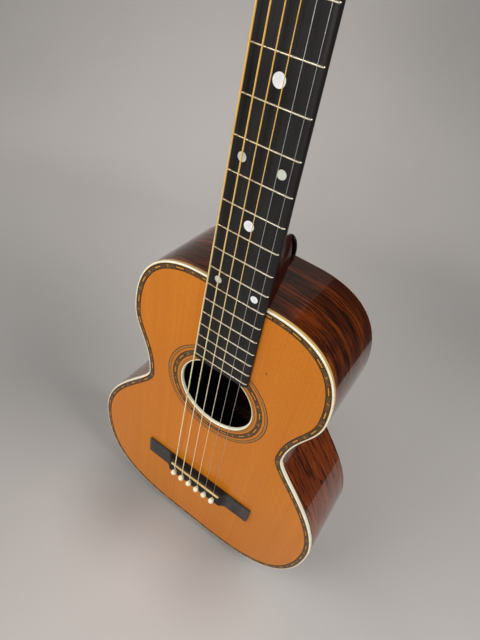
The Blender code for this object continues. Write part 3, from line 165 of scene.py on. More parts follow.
def laid(u, v, w, axes):
    # axes names where outline u, outline v and thickness w go, such as xzy
    where = dict(zip(axes, (u, v, w)))
    return together(where["x"], where["y"], where["z"])


def slabPiece(name, loop, low, high, edge, axes, matrix=None, steps=3):
    # outline carried from low to high
    # near each face it draws in by edge (1 - sin a) while it rises by edge (1 - cos a)
    a = np.linspace(0, math.pi / 2, steps + 1)
    inset, rise = edge * (1 - np.sin(a)), edge * (1 - np.cos(a))
    height = np.concatenate([low + rise, high - rise[::-1]])
    loops = np.stack([insetLoop(loop, i) for i in np.concatenate([inset, inset[::-1]])])
    points = laid(loops[..., 0], loops[..., 1], height[:, None], axes)
    return gridPiece(name, moved(points, matrix) if matrix else points, closeV=True, caps=True)


def turnedPoints(profile, sides, axes="xyz"):
    # profile (r, h) carried round its axis: (r cos a, r sin a, h)
    profile = np.asarray(profile, float)
    a = np.linspace(0, 2 * math.pi, sides, endpoint=False)
    return laid(profile[:, :1] * np.cos(a), profile[:, :1] * np.sin(a), profile[:, 1:], axes)


def tubePiece(name, centre, one, two, radius, length, sides, matrix=None):
    # circle carried along a path: centre + r (cos a one + sin a two); its UV is the length and the turn
    a = np.linspace(0, 2 * math.pi, sides, endpoint=False)
    circle = np.cos(a)[:, None] * one[:, None] + np.sin(a)[:, None] * two[:, None]
    points = centre[:, None] + radius * circle
    uv = together(length[:, None], a / (2 * math.pi))
    return gridPiece(name, moved(points, matrix) if matrix else points, uv, closeV=True, caps=True)


def baked(piece):
    # modifiers made part of the mesh
    view = bpy.context.evaluated_depsgraph_get()
    mesh = bpy.data.meshes.new_from_object(piece.evaluated_get(view))
    piece.modifiers.clear()
    piece.data = mesh


def cutAway(piece, cutters):
    for cutter in cutters:
        step = piece.modifiers.new(cutter.name, "BOOLEAN")
        step.operation = "DIFFERENCE"
        step.solver = "EXACT"
        step.object = cutter
    baked(piece)
    for cutter in cutters:
        bpy.data.objects.remove(cutter)
    piece.data.set_sharp_from_angle(angle=sharpAngle)
    even = piece.modifiers.new("evenShading", "WEIGHTED_NORMAL")    # flat faces keep their own normal
    even.keep_sharp = True
    baked(piece)


def dress(piece, material, body="guitar", stands=()):
    piece.data.materials.clear()
    piece.data.materials.append(material)
    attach(piece, body)
    if stands:
        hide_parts(*stands)
    return piece


# Node helpers

def colour(red, green, blue):
    # screen values from 0 to 255 made linear
    value = np.array([red, green, blue]) / 255
    linear = np.where(value <= 0.04045, value / 12.92, ((value + 0.055) / 1.055) ** 2.4)
    return (*linear.tolist(), 1.0)


def addNode(tree, kind, inputs=None, **settings):
    # inputs are links, plain values or colours given as three screen values
    node = tree.nodes.new("ShaderNode" + kind)
    count = len(tree.nodes)
    node.location = (200 * (count % 9), -240 * (count // 9))
    for name, value in settings.items():
        setattr(node, name, value)
    for name, value in (inputs or {}).items():
        socket = node.inputs[name]
        if isinstance(value, bpy.types.NodeSocket):
            tree.links.new(value, socket)
        elif socket.type == "RGBA" and len(value) == 3:
            socket.default_value = colour(*value)
        else:
            socket.default_value = value
    return node


def maths(tree, operation, one, two=0.0, clamp=False):
    return addNode(tree, "Math", {0: one, 1: two}, operation=operation, use_clamp=clamp).outputs[0]


def times(tree, one, two):
    return maths(tree, "MULTIPLY", one, two)


def minus(tree, one, two):
    return maths(tree, "SUBTRACT", one, two)


def magnitude(tree, one):
    return maths(tree, "ABSOLUTE", one)


def vectorMaths(tree, operation, one, two):
    # SCALE takes its number in a socket of its own, and DISTANCE gives a number
    node = addNode(tree, "VectorMath", {0: one, 3 if operation == "SCALE" else 1: two}, operation=operation)
    return node.outputs["Value" if operation == "DISTANCE" else "Vector"]


def blend(tree, share, one, two, mode="MIX"):
    return addNode(tree, "Mix", {0: share, 6: one, 7: two}, data_type="RGBA", blend_type=mode).outputs[2]


def ranged(tree, value, low, high, first=0.0, last=1.0, kind="SMOOTHSTEP"):
    return addNode(tree, "MapRange", {0: value, 1: low, 2: high, 3: first, 4: last},
                   interpolation_type=kind).outputs[0]


def below(tree, value, low, high, most=1.0):
    # most under the low end, falling to nothing at the high end
    return ranged(tree, value, low, high, most, 0.0)


def noise(tree, where, scale, detail=2.0, **more):
    inputs = {"Vector": where, "Scale": scale, "Detail": detail, **more}
    return addNode(tree, "TexNoise", inputs).outputs["Fac"]


def mapped(tree, where, **change):
    return addNode(tree, "Mapping", {"Vector": where, **change}).outputs[0]


def axisOf(tree, where, axis):
    return addNode(tree, "SeparateXYZ", {0: where}).outputs["XYZ".index(axis)]


def place(tree, kind="Object", turn=None):
    where = addNode(tree, "TexCoord").outputs[kind]
    return mapped(tree, where, Rotation=turn) if turn else where


def newGroup(name, inputs, outputs):
    # the kind of each socket, by its name
    group = bpy.data.node_groups.new(name, "ShaderNodeTree")
    for way, sockets in (("INPUT", inputs), ("OUTPUT", outputs)):
        for socket, kind in sockets.items():
            group.interface.new_socket(socket, in_out=way, socket_type="NodeSocket" + kind)
    return group, group.nodes.new("NodeGroupInput").outputs, group.nodes.new("NodeGroupOutput").inputs


def useGroup(tree, group, inputs):
    return addNode(tree, "Group", inputs, node_tree=group).outputs


def makeWoodGroup():
    # long streaks: a broad and a fine noise on coordinates stretched along the grain (Z), with pores
    group, given, out = newGroup("grainedWood", dict(
        Vector="Vector", Across="Float", Along="Float", Warp="Float", Contrast="Float", Pores="Float",
        Light="Color", Middle="Color", Dark="Color"), dict(Color="Color", Height="Float"))
    swirl = addNode(group, "TexNoise", {"Vector": given["Vector"], "Scale": 11.0, "Detail": 2.0})
    centred = vectorMaths(group, "SUBTRACT", swirl.outputs["Color"], (0.5, 0.5, 0.5))
    warped = vectorMaths(group, "ADD", given["Vector"], vectorMaths(group, "SCALE", centred, given["Warp"]))
    stretch = addNode(group, "CombineXYZ", {0: given["Across"], 1: given["Across"], 2: given["Along"]})
    scaled = vectorMaths(group, "MULTIPLY", warped, stretch.outputs[0])
    broad = noise(group, scaled, 0.14, 4.0, Roughness=0.6)
    fine = noise(group, scaled, 1.0)
    mixed = maths(group, "ADD", times(group, broad, 0.62), times(group, fine, 0.38))
    half = minus(group, 0.32, times(group, given["Contrast"], 0.26))
    tone = ranged(group, mixed, minus(group, 0.5, half), maths(group, "ADD", 0.5, half), kind="LINEAR")
    under = blend(group, ranged(group, tone, 0.0, 0.5, kind="LINEAR"), given["Dark"], given["Middle"])
    over = blend(group, ranged(group, tone, 0.5, 1.0, kind="LINEAR"), under, given["Light"])
    pore = ranged(group, noise(group, scaled, 3.2, 1.0), 0.58, 0.68)
    group.links.new(blend(group, times(group, pore, given["Pores"]), over, given["Dark"]), out["Color"])
    group.links.new(minus(group, fine, times(group, pore, 0.7)), out["Height"])
    return group


def makeWearGroup():
    # roughness between two values from soft smudges, and a height of faint crossing scratches
    group, given, out = newGroup("handWear", dict(
        Vector="Vector", Scale="Float", Smooth="Float", Rough="Float"), dict(
        Roughness="Float", Height="Float", Grime="Float"))
    smudge = noise(group, given["Vector"], given["Scale"], 4.0)
    crossing = mapped(group, given["Vector"], Rotation=(0.3, 0.5, 0.2), Scale=(6.0, 1.0, 0.6))
    share = ranged(group, smudge, 0.35, 0.68)
    roughness = ranged(group, share, 0.0, 1.0, given["Smooth"], given["Rough"], "LINEAR")
    group.links.new(roughness, out["Roughness"])
    group.links.new(ranged(group, noise(group, crossing, 260.0), 0.5, 0.75), out["Height"])
    group.links.new(ranged(group, smudge, 0.5, 0.8), out["Grime"])
    return group


def makeInlayGroup():
    # band of inlay: dark edge lines, mottled wood, a gold dash at every pitch and a small cross between two
    group, given, out = newGroup("inlaidBand", dict(
        Vector="Vector", Width="Float", Pitch="Float", Ground="Color", Fleck="Color", Line="Color",
        Gold="Color", Warm="Color"), dict(Color="Color", Height="Float"))
    where = given["Vector"]
    halfWidth = times(group, given["Width"], 0.5)
    side = magnitude(group, minus(group, axisOf(group, where, "Y"), halfWidth))
    turn = maths(group, "DIVIDE", axisOf(group, where, "X"), given["Pitch"])

    def fromMiddle(value):
        share = minus(group, maths(group, "FRACT", value), 0.5)
        return magnitude(group, times(group, share, given["Pitch"]))
    middle, between = fromMiddle(turn), fromMiddle(maths(group, "ADD", turn, 0.5))
    flecks = noise(group, where, 900.0)
    patches = ranged(group, noise(group, where, 55.0, 1.0), 0.46, 0.6, 0.0, 0.8)
    mottled = blend(group, patches, given["Ground"], given["Warm"])
    mottled = blend(group, ranged(group, flecks, 0.46, 0.6), mottled, given["Fleck"])
    grey = ranged(group, noise(group, where, 260.0), 0.5, 0.7, 0.0, 0.6)
    mottled = blend(group, grey, mottled, given["Line"])
    dash = times(group, below(group, middle, 0.0046, 0.0050), below(group, side, 0.0004, 0.0008))
    ends = times(group, below(group, middle, 0.0058, 0.0062), below(group, side, 0.0011, 0.0014))
    crossed = magnitude(group, minus(group, between, side))
    cross = times(group, below(group, crossed, 0.0002, 0.0005), below(group, between, 0.0012, 0.0016))
    gold = maths(group, "MAXIMUM", dash, times(group, cross, 0.8))
    golden = blend(group, gold, blend(group, ends, mottled, given["Line"]), given["Gold"])
    rim = below(group, minus(group, halfWidth, side), 0.00045, 0.00065)
    group.links.new(blend(group, rim, golden, given["Line"]), out["Color"])
    group.links.new(flecks, out["Height"])
    return group


woodGroup = makeWoodGroup()
wearGroup = makeWearGroup()
inlayGroup = makeInlayGroup()


def newMaterial(name, **sockets):
    # a Principled shader with its plain values; finished links what varies
    material = bpy.data.materials.new(name)
    material.use_nodes = True
    tree = material.node_tree
    for socket, value in sockets.items():
        tree.nodes["Principled BSDF"].inputs[socket.replace("_", " ")].default_value = value
    return material, tree


def worn(tree, where, scale, smooth, rough):
    return useGroup(tree, wearGroup, {"Vector": where, "Scale": scale, "Smooth": smooth, "Rough": rough})


def finished(material, made, wear, height, strength, distance=0.0001):
    tree = material.node_tree
    bump = addNode(tree, "Bump", {"Height": height, "Strength": strength, "Distance": distance})
    for name, value in (("Base Color", made), ("Roughness", wear["Roughness"]), ("Normal", bump.outputs[0])):
        tree.links.new(value, tree.nodes["Principled BSDF"].inputs[name])
    return material


def woodMaterial(name, look, kind="Object", turn=None, toned=None):
    # toned, where given, works over the grain's colour
    material, tree = newMaterial(name, Coat_Weight=look["coat"], Coat_Roughness=look["coatRoughness"],
                                 Specular_IOR_Level=look["specular"])
    where = place(tree, kind, turn)
    grain = {key.capitalize(): look[key] for key in (
        "across", "along", "warp", "contrast", "pores", "light", "middle", "dark")}
    wood = useGroup(tree, woodGroup, {"Vector": where, **grain})
    wear = worn(tree, where, look["smudges"], look["smooth"], look["rough"])
    made = toned(tree, where, wood["Color"]) if toned else wood["Color"]
    return finished(material, made, wear, wood["Height"], look["bump"], 0.0002)


# Body outline, shared by every piece of the body

bodyShape = {
    "length": 0.4460, "tailZ": 0.0115, "upperHalf": 0.1135, "upperHeight": 0.3600, "waistHalf": 0.0905,
    "waistHeight": 0.2714, "lowerHalf": 0.1644, "lowerHeight": 0.1262, "shoulderRun": 0.0310,
    "shoulderReach": 0.0200, "upperFall": 0.0305, "waistRise": 0.0437, "waistFall": 0.0231,
    "lowerRise": 0.0766, "tailRun": 0.0240, "tailReach": 0.0440, "depthAtNeck": 0.0843,
    "depthAtTail": 0.1010, "backRadius": 4.5, "topThickness": 0.0030, "backThickness": 0.0026,
    "sideThickness": 0.0020, "steps": 36}
shoulderZ = bodyShape["tailZ"] + bodyShape["length"]
frontY = -(bodyShape["depthAtTail"] + bodyShape["lowerHalf"] ** 2 / (2 * bodyShape["backRadius"])) / 2


def halfOutline():
    # four Bezier curves from the tail's centre round the lower bout, the waist and the upper bout to the neck
    b, n = bodyShape, bodyShape["steps"]
    tail = (b["tailRun"], b["tailZ"])
    lower, waist, upper = [(b[bout + "Half"], b["tailZ"] + b[bout + "Height"])
                           for bout in ("lower", "waist", "upper")]
    shoulder = (b["shoulderRun"], shoulderZ)
    return np.concatenate([
        [(0.0, b["tailZ"]), tail],
        bezier(tail, (tail[0] + b["tailReach"], tail[1]), (lower[0], tail[1]), lower, n),
        bezier(lower, (lower[0], lower[1] + b["lowerRise"]), (waist[0], waist[1] - b["waistFall"]), waist, n),
        bezier(waist, (waist[0], waist[1] + b["waistRise"]), (upper[0], upper[1] - b["upperFall"]), upper, n),
        bezier(upper, (upper[0], shoulderZ), (shoulder[0] + b["shoulderReach"], shoulderZ), shoulder, n),
        [(0.0, shoulderZ)]])


outlineHalf = halfOutline()
outlineLoop = np.concatenate([outlineHalf, outlineHalf[-2:0:-1] * (-1, 1)])
outlineLength = lengthsAlong(np.concatenate([outlineLoop, outlineLoop[:1]]))


def backFace(x, z):
    # front face + depth tapering with height + dish of the back, (half width^2 - x^2) / 2R
    b = bodyShape
    depth = b["depthAtTail"] + (b["depthAtNeck"] - b["depthAtTail"]) * (z - b["tailZ"]) / b["length"]
    return frontY + depth + (b["lowerHalf"] ** 2 - x * x) / (2 * b["backRadius"])


def rimPoints(section):
    # section of (inset, depth, rear) carried round the outline; depth counts from the front, or from the back
    loops = np.stack([insetLoop(outlineLoop, inset) for inset in section[:, 0]], 1)
    x, z = loops[..., 0], loops[..., 1]
    y = np.where(section[:, 2] > 0, backFace(x, z) - section[:, 1], frontY + section[:, 1])
    return np.stack([x, y, z], -1)


def rimPiece(name, section):
    # a closed band right round the body; its UV is the length round the outline and the section's own place
    section = np.array(section, float)
    points = rimPoints(section)
    uv = together(outlineLength[:, None], section[:, 3])
    return gridPiece(name, np.concatenate([points, points[:1]]), uv, closeV=True)


def roundedEdge(width, height, radius, rear=0):
    # section of an edge strip whose outer corner is a quarter circle; last column is the place in its pattern
    a = np.linspace(0, math.pi / 2, 5)
    down = radius * (1 - np.sin(a))
    return np.concatenate([[(0.0, height, rear, height), (0.0, height * 0.6, rear, height * 0.6)],
                           together(radius * (1 - np.cos(a)), down, rear, down),
                           [(width, 0.0, rear, -0.001), (width, height, rear, height)]])


# Soundboard

soundboard = {
    "holeZ": shoulderZ - 0.1430, "holeRadius": 0.0456, "rimInset": 0.0021, "fieldInset": 0.0076,
    "grooveDepth": 0.0015, "rows": 10, "spotX": 0.0458, "spotZ": 0.3893,
    "wood": {"across": 620.0, "along": 5.0, "warp": 0.0012, "contrast": 0.2, "pores": 0.1, "bump": 0.08,
             "light": (218, 134, 32), "middle": (210, 123, 22), "dark": (196, 109, 16), "smudges": 9.0,
             "smooth": 0.34, "rough": 0.46, "specular": 0.1, "coat": 0.36, "coatRoughness": 0.09}}


def spruceTone(tree, where, made):
    # broad warm patches, fine flecks and one small dark spot
    shade, fleck = noise(tree, where, 7.0, 3.0), noise(tree, where, 420.0, 3.0)
    made = blend(tree, ranged(tree, shade, 0.3, 0.7, 0.0, 0.5), made, (198, 112, 22))
    made = blend(tree, ranged(tree, fleck, 0.55, 0.75, 0.0, 0.4), made, (178, 100, 28))
    made = blend(tree, below(tree, fleck, 0.28, 0.42, 0.26), made, (226, 146, 44))
    away = vectorMaths(tree, "DISTANCE", where, (soundboard["spotX"], frontY, soundboard["spotZ"]))
    return blend(tree, below(tree, away, 0.0006, 0.0014), made, (90, 40, 20))


def makeSoundboard():
    # rows from the hole's circle to the outline, straight between them at each bearing, then the edge groove
    s = soundboard
    outer, rim = insetLoop(outlineLoop, s["fieldInset"]), insetLoop(outlineLoop, s["rimInset"])
    bearing = np.arctan2(outer[:, 1] - s["holeZ"], outer[:, 0])
    radius = s["holeRadius"] + gap
    hole = np.stack([radius * np.cos(bearing), s["holeZ"] + radius * np.sin(bearing)], -1)
    flat = [hole * (1 - share) + outer * share for share in np.linspace(0, 1, s["rows"])]
    rows = np.stack([hole] + flat + [outer, rim, rim])
    thick, groove = bodyShape["topThickness"], s["grooveDepth"]
    depths = np.array([thick] + [0.0] * len(flat) + [groove, groove, thick])
    points = together(rows[..., 0], frontY + depths[:, None], rows[..., 1])
    panel = gridPiece("soundboardPanel", points, closeU=True, closeV=True)
    spruce = woodMaterial("agedSpruce", s["wood"], toned=spruceTone)
    dress(panel, spruce, stands=["soundboard"])


# Inlays round the hole and the edge

inlays = {
    "bandRadius": 0.0512, "bandWidth": 0.0063, "outerRadius": 0.0601, "outerWidth": 0.0038,
    "innerRadius": 0.0468, "innerWidth": 0.0020, "depth": 0.0012, "proud": 0.00008, "ease": 0.0001,
    "sides": 160, "pitch": 0.0262,
    "ringWidth": 0.0012, "ringProud": 0.00025, "ringLip": 0.0004,
    "finish": {"Coat_Weight": 0.36, "Coat_Roughness": 0.1, "Specular_IOR_Level": 0.1},
    "colours": {"Ground": (66, 47, 27), "Fleck": (124, 94, 54), "Line": (26, 18, 11), "Gold": (206, 144, 40),
                "Warm": (92, 46, 26)}}


def inlayMaterial(name, width, pitch):
    material, tree = newMaterial(name, **inlays["finish"])
    where = place(tree, "UV")
    band = useGroup(tree, inlayGroup, {"Vector": where, "Width": width, "Pitch": pitch, **inlays["colours"]})
    return finished(material, band["Color"], worn(tree, where, 30.0, 0.28, 0.42), band["Height"], 0.05)


def striped(tree, across, made, lines):
    # each line is (from, to, colour) across a band, soft by the blur at its edges
    blur = 0.0001
    for start, end, tint in lines:
        inside = times(tree, ranged(tree, across, start - blur, start + blur),
                       below(tree, across, end - blur, end + blur))
        made = blend(tree, inside, made, tint)
    return made


def linedMaterial(name, lines, ground):
    material, tree = newMaterial(name, **inlays["finish"])
    where = place(tree, "UV")
    made = blend(tree, ranged(tree, noise(tree, where, 500.0), 0.35, 0.7, 0.0, 0.35), *ground)
    wear = worn(tree, where, 30.0, 0.28, 0.42)
    made = striped(tree, axisOf(tree, where, "Y"), made, lines)
    return finished(material, made, wear, wear["Height"], 0.03)


def ringPiece(name, profile, width=0.0):
    # profile (radius, depth) turned about the hole's axis; its UV is the arc and the way from the inner edge
    sides, inner = inlays["sides"], profile[0][0]
    points = turnedPoints(profile, sides, "xzy") + (0, frontY, soundboard["holeZ"])
    arc = np.linspace(0, 2 * math.pi * (inner + width / 2), sides + 1)
    uv = together(arc[None], np.array(profile)[:, :1] - inner)
    return gridPiece(name, np.concatenate([points, points[:, :1]], 1), uv, closeU=True)


def makeInlays():
    i = inlays
    middle = 2 * math.pi * (i["bandRadius"] + i["bandWidth"] / 2)
    dark = (46, 30, 18)
    materials = {
        "band": inlayMaterial("rosetteInlay", i["bandWidth"], middle / round(middle / i["pitch"])),
        "outer": linedMaterial("rosetteOuterLines", [(-0.001, 0.0007, dark), (0.0029, 0.005, dark)],
                               [(176, 120, 50), (140, 92, 40)]),
        "inner": linedMaterial("rosetteInnerLines", [(-0.001, 0.0005, dark), (0.0015, 0.003, dark)],
                               [(182, 134, 56), (206, 140, 66)])}
    for name, piece, stands in (("band", "rosetteBand", ["rosette"]), ("outer", "rosetteOuterRing", ()),
                                ("inner", "rosetteInnerRing", ())):
        start, width, ease, proud = i[name + "Radius"], i[name + "Width"], i["ease"], i["proud"]
        half = np.array([(0, i["depth"]), (0, ease - proud), (ease, -proud), (width / 2, -proud)])
        profile = np.concatenate([half, half[-2::-1] * (-1, 1) + (width, 0)]) + (start, 0)
        dress(ringPiece(piece, profile, width), materials[name], stands=stands)
    makeHoleRing()


def makeHoleRing():
    # cream ring let into the hole's wall, sloping down inside and with a lip over its joint
    radius, proud, thick = soundboard["holeRadius"], inlays["ringProud"], bodyShape["topThickness"]
    inner, lip, level = radius - inlays["ringWidth"], radius + inlays["ringLip"], -0.00001
    profile = [(inner, thick), (inner, 0.0013), (inner + 0.0002, 0.0006), (inner + 0.0007, 0.0),
               (inner + 0.0011, -proud), (lip - 0.0003, -proud), (lip, -proud + 0.0001), (lip, level),
               (radius, level), (radius, thick)]
    cream = creamMaterial("holeRingCream", (), (255, 251, 224), (254, 240, 200))
    dress(ringPiece("soundholeEdge", profile), cream, stands=["soundhole_ring"])


# Edge strips

edgeStrips = {"width": 0.0018, "height": 0.0042, "backHeight": 0.0030, "radius": 0.0010,
              "purflingWidth": 0.0052, "purflingDepth": 0.0012, "purflingPitch": 0.0315}


def creamMaterial(name, lines, light=(255, 252, 232), aged=(222, 178, 98), depth=0.0):
    # ivory-coloured strip with any fine lines across its UV; with a depth, painted shade: yellower away from
    # its top edge, mostly on the upper bout
    material, tree = newMaterial(name, Coat_Weight=0.6, Coat_Roughness=0.06)
    across, spot = axisOf(tree, place(tree, "UV"), "Y"), place(tree)
    share = ranged(tree, noise(tree, spot, 45.0, 3.0), 0.35, 0.7, 0.0, 0.22)
    if depth:
        # painted shade on the side face: the darker tint grows from the corner downwards, and far more on the
        # upper bout than lower down
        down = ranged(tree, across, depth * 0.12, depth * 0.4)
        upper = ranged(tree, axisOf(tree, spot, "Z"), 0.27, 0.36, 0.04, 0.95)
        share = maths(tree, "ADD", share, times(tree, down, upper), clamp=True)
    wear = worn(tree, spot, 60.0, 0.22, 0.38)
    made = striped(tree, across, blend(tree, share, light, aged), lines)
    return finished(material, made, wear, wear["Height"], 0.04)


def makeEdges():
    e = edgeStrips
    top = rimPiece("topBindingStrip", roundedEdge(e["width"], e["height"], e["radius"]))
    # the tan over the flat top face leaves only the rounded corner pale, a painted highlight line; the brown
    # band lies low on the side face; the depth paints shade on the side face
    lines = [(-0.005, -0.00035, (224, 184, 110)), (0.0037, 0.007, (110, 70, 36))]
    cream = creamMaterial("bindingCream", lines, depth=e["height"])
    dress(top, cream, stands=["top_binding"])
    back = rimPiece("backBindingStrip", roundedEdge(e["width"], e["backHeight"], e["radius"], rear=1))
    lines = [(0.0011, 0.005, (70, 30, 12))]
    cream = creamMaterial("backBindingCream", lines, (214, 172, 104), (176, 126, 62))
    dress(back, cream, stands=["back_binding"])
    inset, width, deep = soundboard["rimInset"], e["purflingWidth"], e["purflingDepth"]
    section = [(inset, deep, 0, 0.0), (inset, -0.00005, 0, 0.0), (inset + width / 2, -0.00008, 0, width / 2),
               (inset + width, -0.00005, 0, width), (inset + width, deep, 0, width)]
    pitch = outlineLength[-1] / round(outlineLength[-1] / e["purflingPitch"])
    dress(rimPiece("topPurflingStrip", section), inlayMaterial("purflingInlay", width, pitch),
          stands=["top_purfling"])


# Sides and back

rosewood = {"across": 400.0, "along": 9.0, "warp": 0.020, "contrast": 0.5, "pores": 0.75, "bump": 0.05,
            "light": (150, 69, 12), "middle": (80, 31, 8), "dark": (25, 11, 5), "smudges": 12.0,
            "smooth": 0.3, "rough": 0.42, "specular": 0.1, "coat": 1.0, "coatRoughness": 0.012}
backStrip = {"half": 0.0052, "ease": 0.0002, "inset": 0.004, "pitch": 0.0275, "rows": 60}


def rosewoodTone(tree, where, wood):
    # black ink lines: thin bands where a stretched noise crosses its middle
    line = noise(tree, mapped(tree, where, Scale=(150.0, 150.0, 6.0)), 1.0, 3.0, Distortion=0.8)
    ink = below(tree, magnitude(tree, minus(tree, line, 0.5)), 0.008, 0.032, 0.92)
    # shorter black streaks between the lines
    streak = noise(tree, mapped(tree, where, Scale=(430.0, 430.0, 18.0)), 1.0, 3.0, Distortion=0.4)
    ink = maths(tree, "MAXIMUM", ink, ranged(tree, streak, 0.56, 0.64, 0.0, 0.88))
    flame = noise(tree, where, 16.0)
    warm = blend(tree, ranged(tree, flame, 0.45, 0.7, 0.0, 0.55), wood, (150, 66, 26), "SCREEN")
    made = blend(tree, ranged(tree, flame, 0.5, 0.72, 0.0, 0.6), wood, warm)
    # painted light: the boards are screened redder and paler towards the lower bout
    low = below(tree, axisOf(tree, place(tree), "Z"), 0.22, 0.36, 0.75)
    return blend(tree, ink, blend(tree, low, made, (116, 47, 10), "SCREEN"), (18, 8, 6))


def rosewoodMaterial(name, kind="Object", turn=None, **changes):
    return woodMaterial(name, {**rosewood, **changes}, kind, turn, rosewoodTone)


def makeSide(name, side, node):
    # the side's section carried along half the outline, from the tail's middle to the neck's
    front, rear = edgeStrips["height"] + gap, edgeStrips["backHeight"] + gap
    thick, full = bodyShape["sideThickness"], len(outlineHalf)
    section = np.array([(0.0, front, 0), (thick, front, 0), (thick, rear, 1), (0.0, rear, 1)])
    points = rimPoints(section)[:full]
    points[..., 0] = np.maximum(points[..., 0], gap / 2) * side
    shift = 0.37 if side > 0 else 0.0    # another part of the figure on each side
    uv = together(points[..., 1], outlineLength[:full, None] + shift)
    wood = rosewoodMaterial("sideRosewood" + name[:-4].capitalize(), "UV", (math.pi / 2, 0.0, 0.0))
    dress(gridPiece(name, points, uv, closeV=True, caps=True), wood, stands=[node])


def makeBack():
    # rows across the body from side to side of the inset outline, on the dished face and one thickness in
    half = insetLoop(outlineLoop, soundboard["rimInset"])[1:len(outlineHalf) - 1]
    x = half[:, :1] * np.linspace(-1, 1, 17)
    outer = together(x, backFace(x, half[:, 1:]), half[:, 1:])
    inner = outer - (0, bodyShape["backThickness"], 0)
    back = gridPiece("backPanel", np.concatenate([outer, inner[:, ::-1]], 1), closeV=True, caps=True)
    dress(back, rosewoodMaterial("backRosewood"), stands=["back_plate"])
    b = backStrip
    rows = np.linspace(bodyShape["tailZ"] + b["inset"], shoulderZ - b["inset"], b["rows"])[:, None]
    u = np.array([-b["half"], b["ease"] - b["half"], 0.0, b["half"] - b["ease"], b["half"]])
    lift = np.array([-0.0006, 0.00006, 0.00008, 0.00006, -0.0006])
    strip = gridPiece("backStrip", together(u, backFace(u, rows) + lift, rows), together(rows, u + b["half"]),
                      closeV=True, caps=True)
    dress(strip, inlayMaterial("backStripInlay", 2 * b["half"], b["pitch"]))


# Neck, heel and head

neck = {"scale": 0.6223, "jointFret": 12, "jointOverlap": 0.0026, "nutWidth": 0.0460, "jointWidth": 0.0604,
        "depthAtNut": 0.0190, "depthAtHeel": 0.0220, "heelCapLength": 0.0195, "heelCapThickness": 0.0025,
        "heelLength": 0.1000, "footShare": 0.29, "nutThickness": 0.0050, "nutCrown": 0.0005,
        "tilt": math.radians(13.0), "headLength": 0.1720, "headHalf": 0.0310, "headThickness": 0.0170,
        "flareLength": 0.0370, "slotInner": 0.0070, "slotOuter": 0.0215, "slotStart": 0.0290,
        "slotEnd": 0.1450, "rampSlope": math.radians(12.0), "rampMargin": 0.0006, "rampFoot": 0.0055,
        "plateThickness": 0.0020, "vSection": 1.5,
        "wood": {"across": 420.0, "along": 14.0, "warp": 0.004, "contrast": 0.35, "pores": 0.55, "bump": 0.05,
                 "light": (88, 33, 17), "middle": (66, 24, 12), "dark": (40, 14, 8), "smudges": 14.0,
                 "smooth": 0.3, "rough": 0.44, "specular": 0.05, "coat": 0.06, "coatRoughness": 0.1}}


def fretDistance(number):
    # equal temperament: scale (1 - 2^(-n/12)) from the nut
    return neck["scale"] * (1 - 2 ** (-number / 12))


nutZ = shoulderZ + fretDistance(neck["jointFret"]) - neck["jointOverlap"]
headZ = nutZ + neck["nutThickness"] + gap
headMatrix = Matrix.Translation((0, frontY, headZ)) @ Matrix.Rotation(-neck["tilt"], 4, "X")

# Half sections of the neck from its edge to its middle: round, softened to a V, and boxed for the head
quarter = np.linspace(0, math.pi / 2, 15)
roundShape = np.stack([np.cos(quarter), np.sin(quarter)])
softShape = roundShape ** (2 / neck["vSection"])
boxShape = np.stack([np.interp(np.linspace(0, 1, 15), [0, 0.45, 0.52, 0.6, 1], turn) for turn in (
    [1, 1, 0.99, 0.965, 0], [0, 0.94, 0.985, 1, 1])])


def boardHalf(z):
    share = (nutZ - z) / fretDistance(neck["jointFret"])
    return (neck["nutWidth"] + (neck["jointWidth"] - neck["nutWidth"]) * share) / 2


def heelShape(foot):
    # straight sides drawing in evenly to a foot: (1-f)(1-v) + f sqrt(1 - v^8)
    v = roundShape[1]
    return np.stack([(1 - foot) * (1 - v) + foot * np.sqrt(np.maximum(0, 1 - v ** 8)), v])


def headOutline():
    low, wide, flare = neck["nutWidth"] / 2, neck["headHalf"], neck["flareLength"]
    table = [(low + (wide - low) * width, flare * share) for share, width in (
        (0.0, 0.0), (0.32, 0.12), (0.49, 0.40), (0.65, 0.75), (0.81, 0.95), (1.0, 1.0))]
    table += [(wide, neck["headLength"] - 0.003), (wide - 0.0006, neck["headLength"])]
    return eased(table, 0.0026)


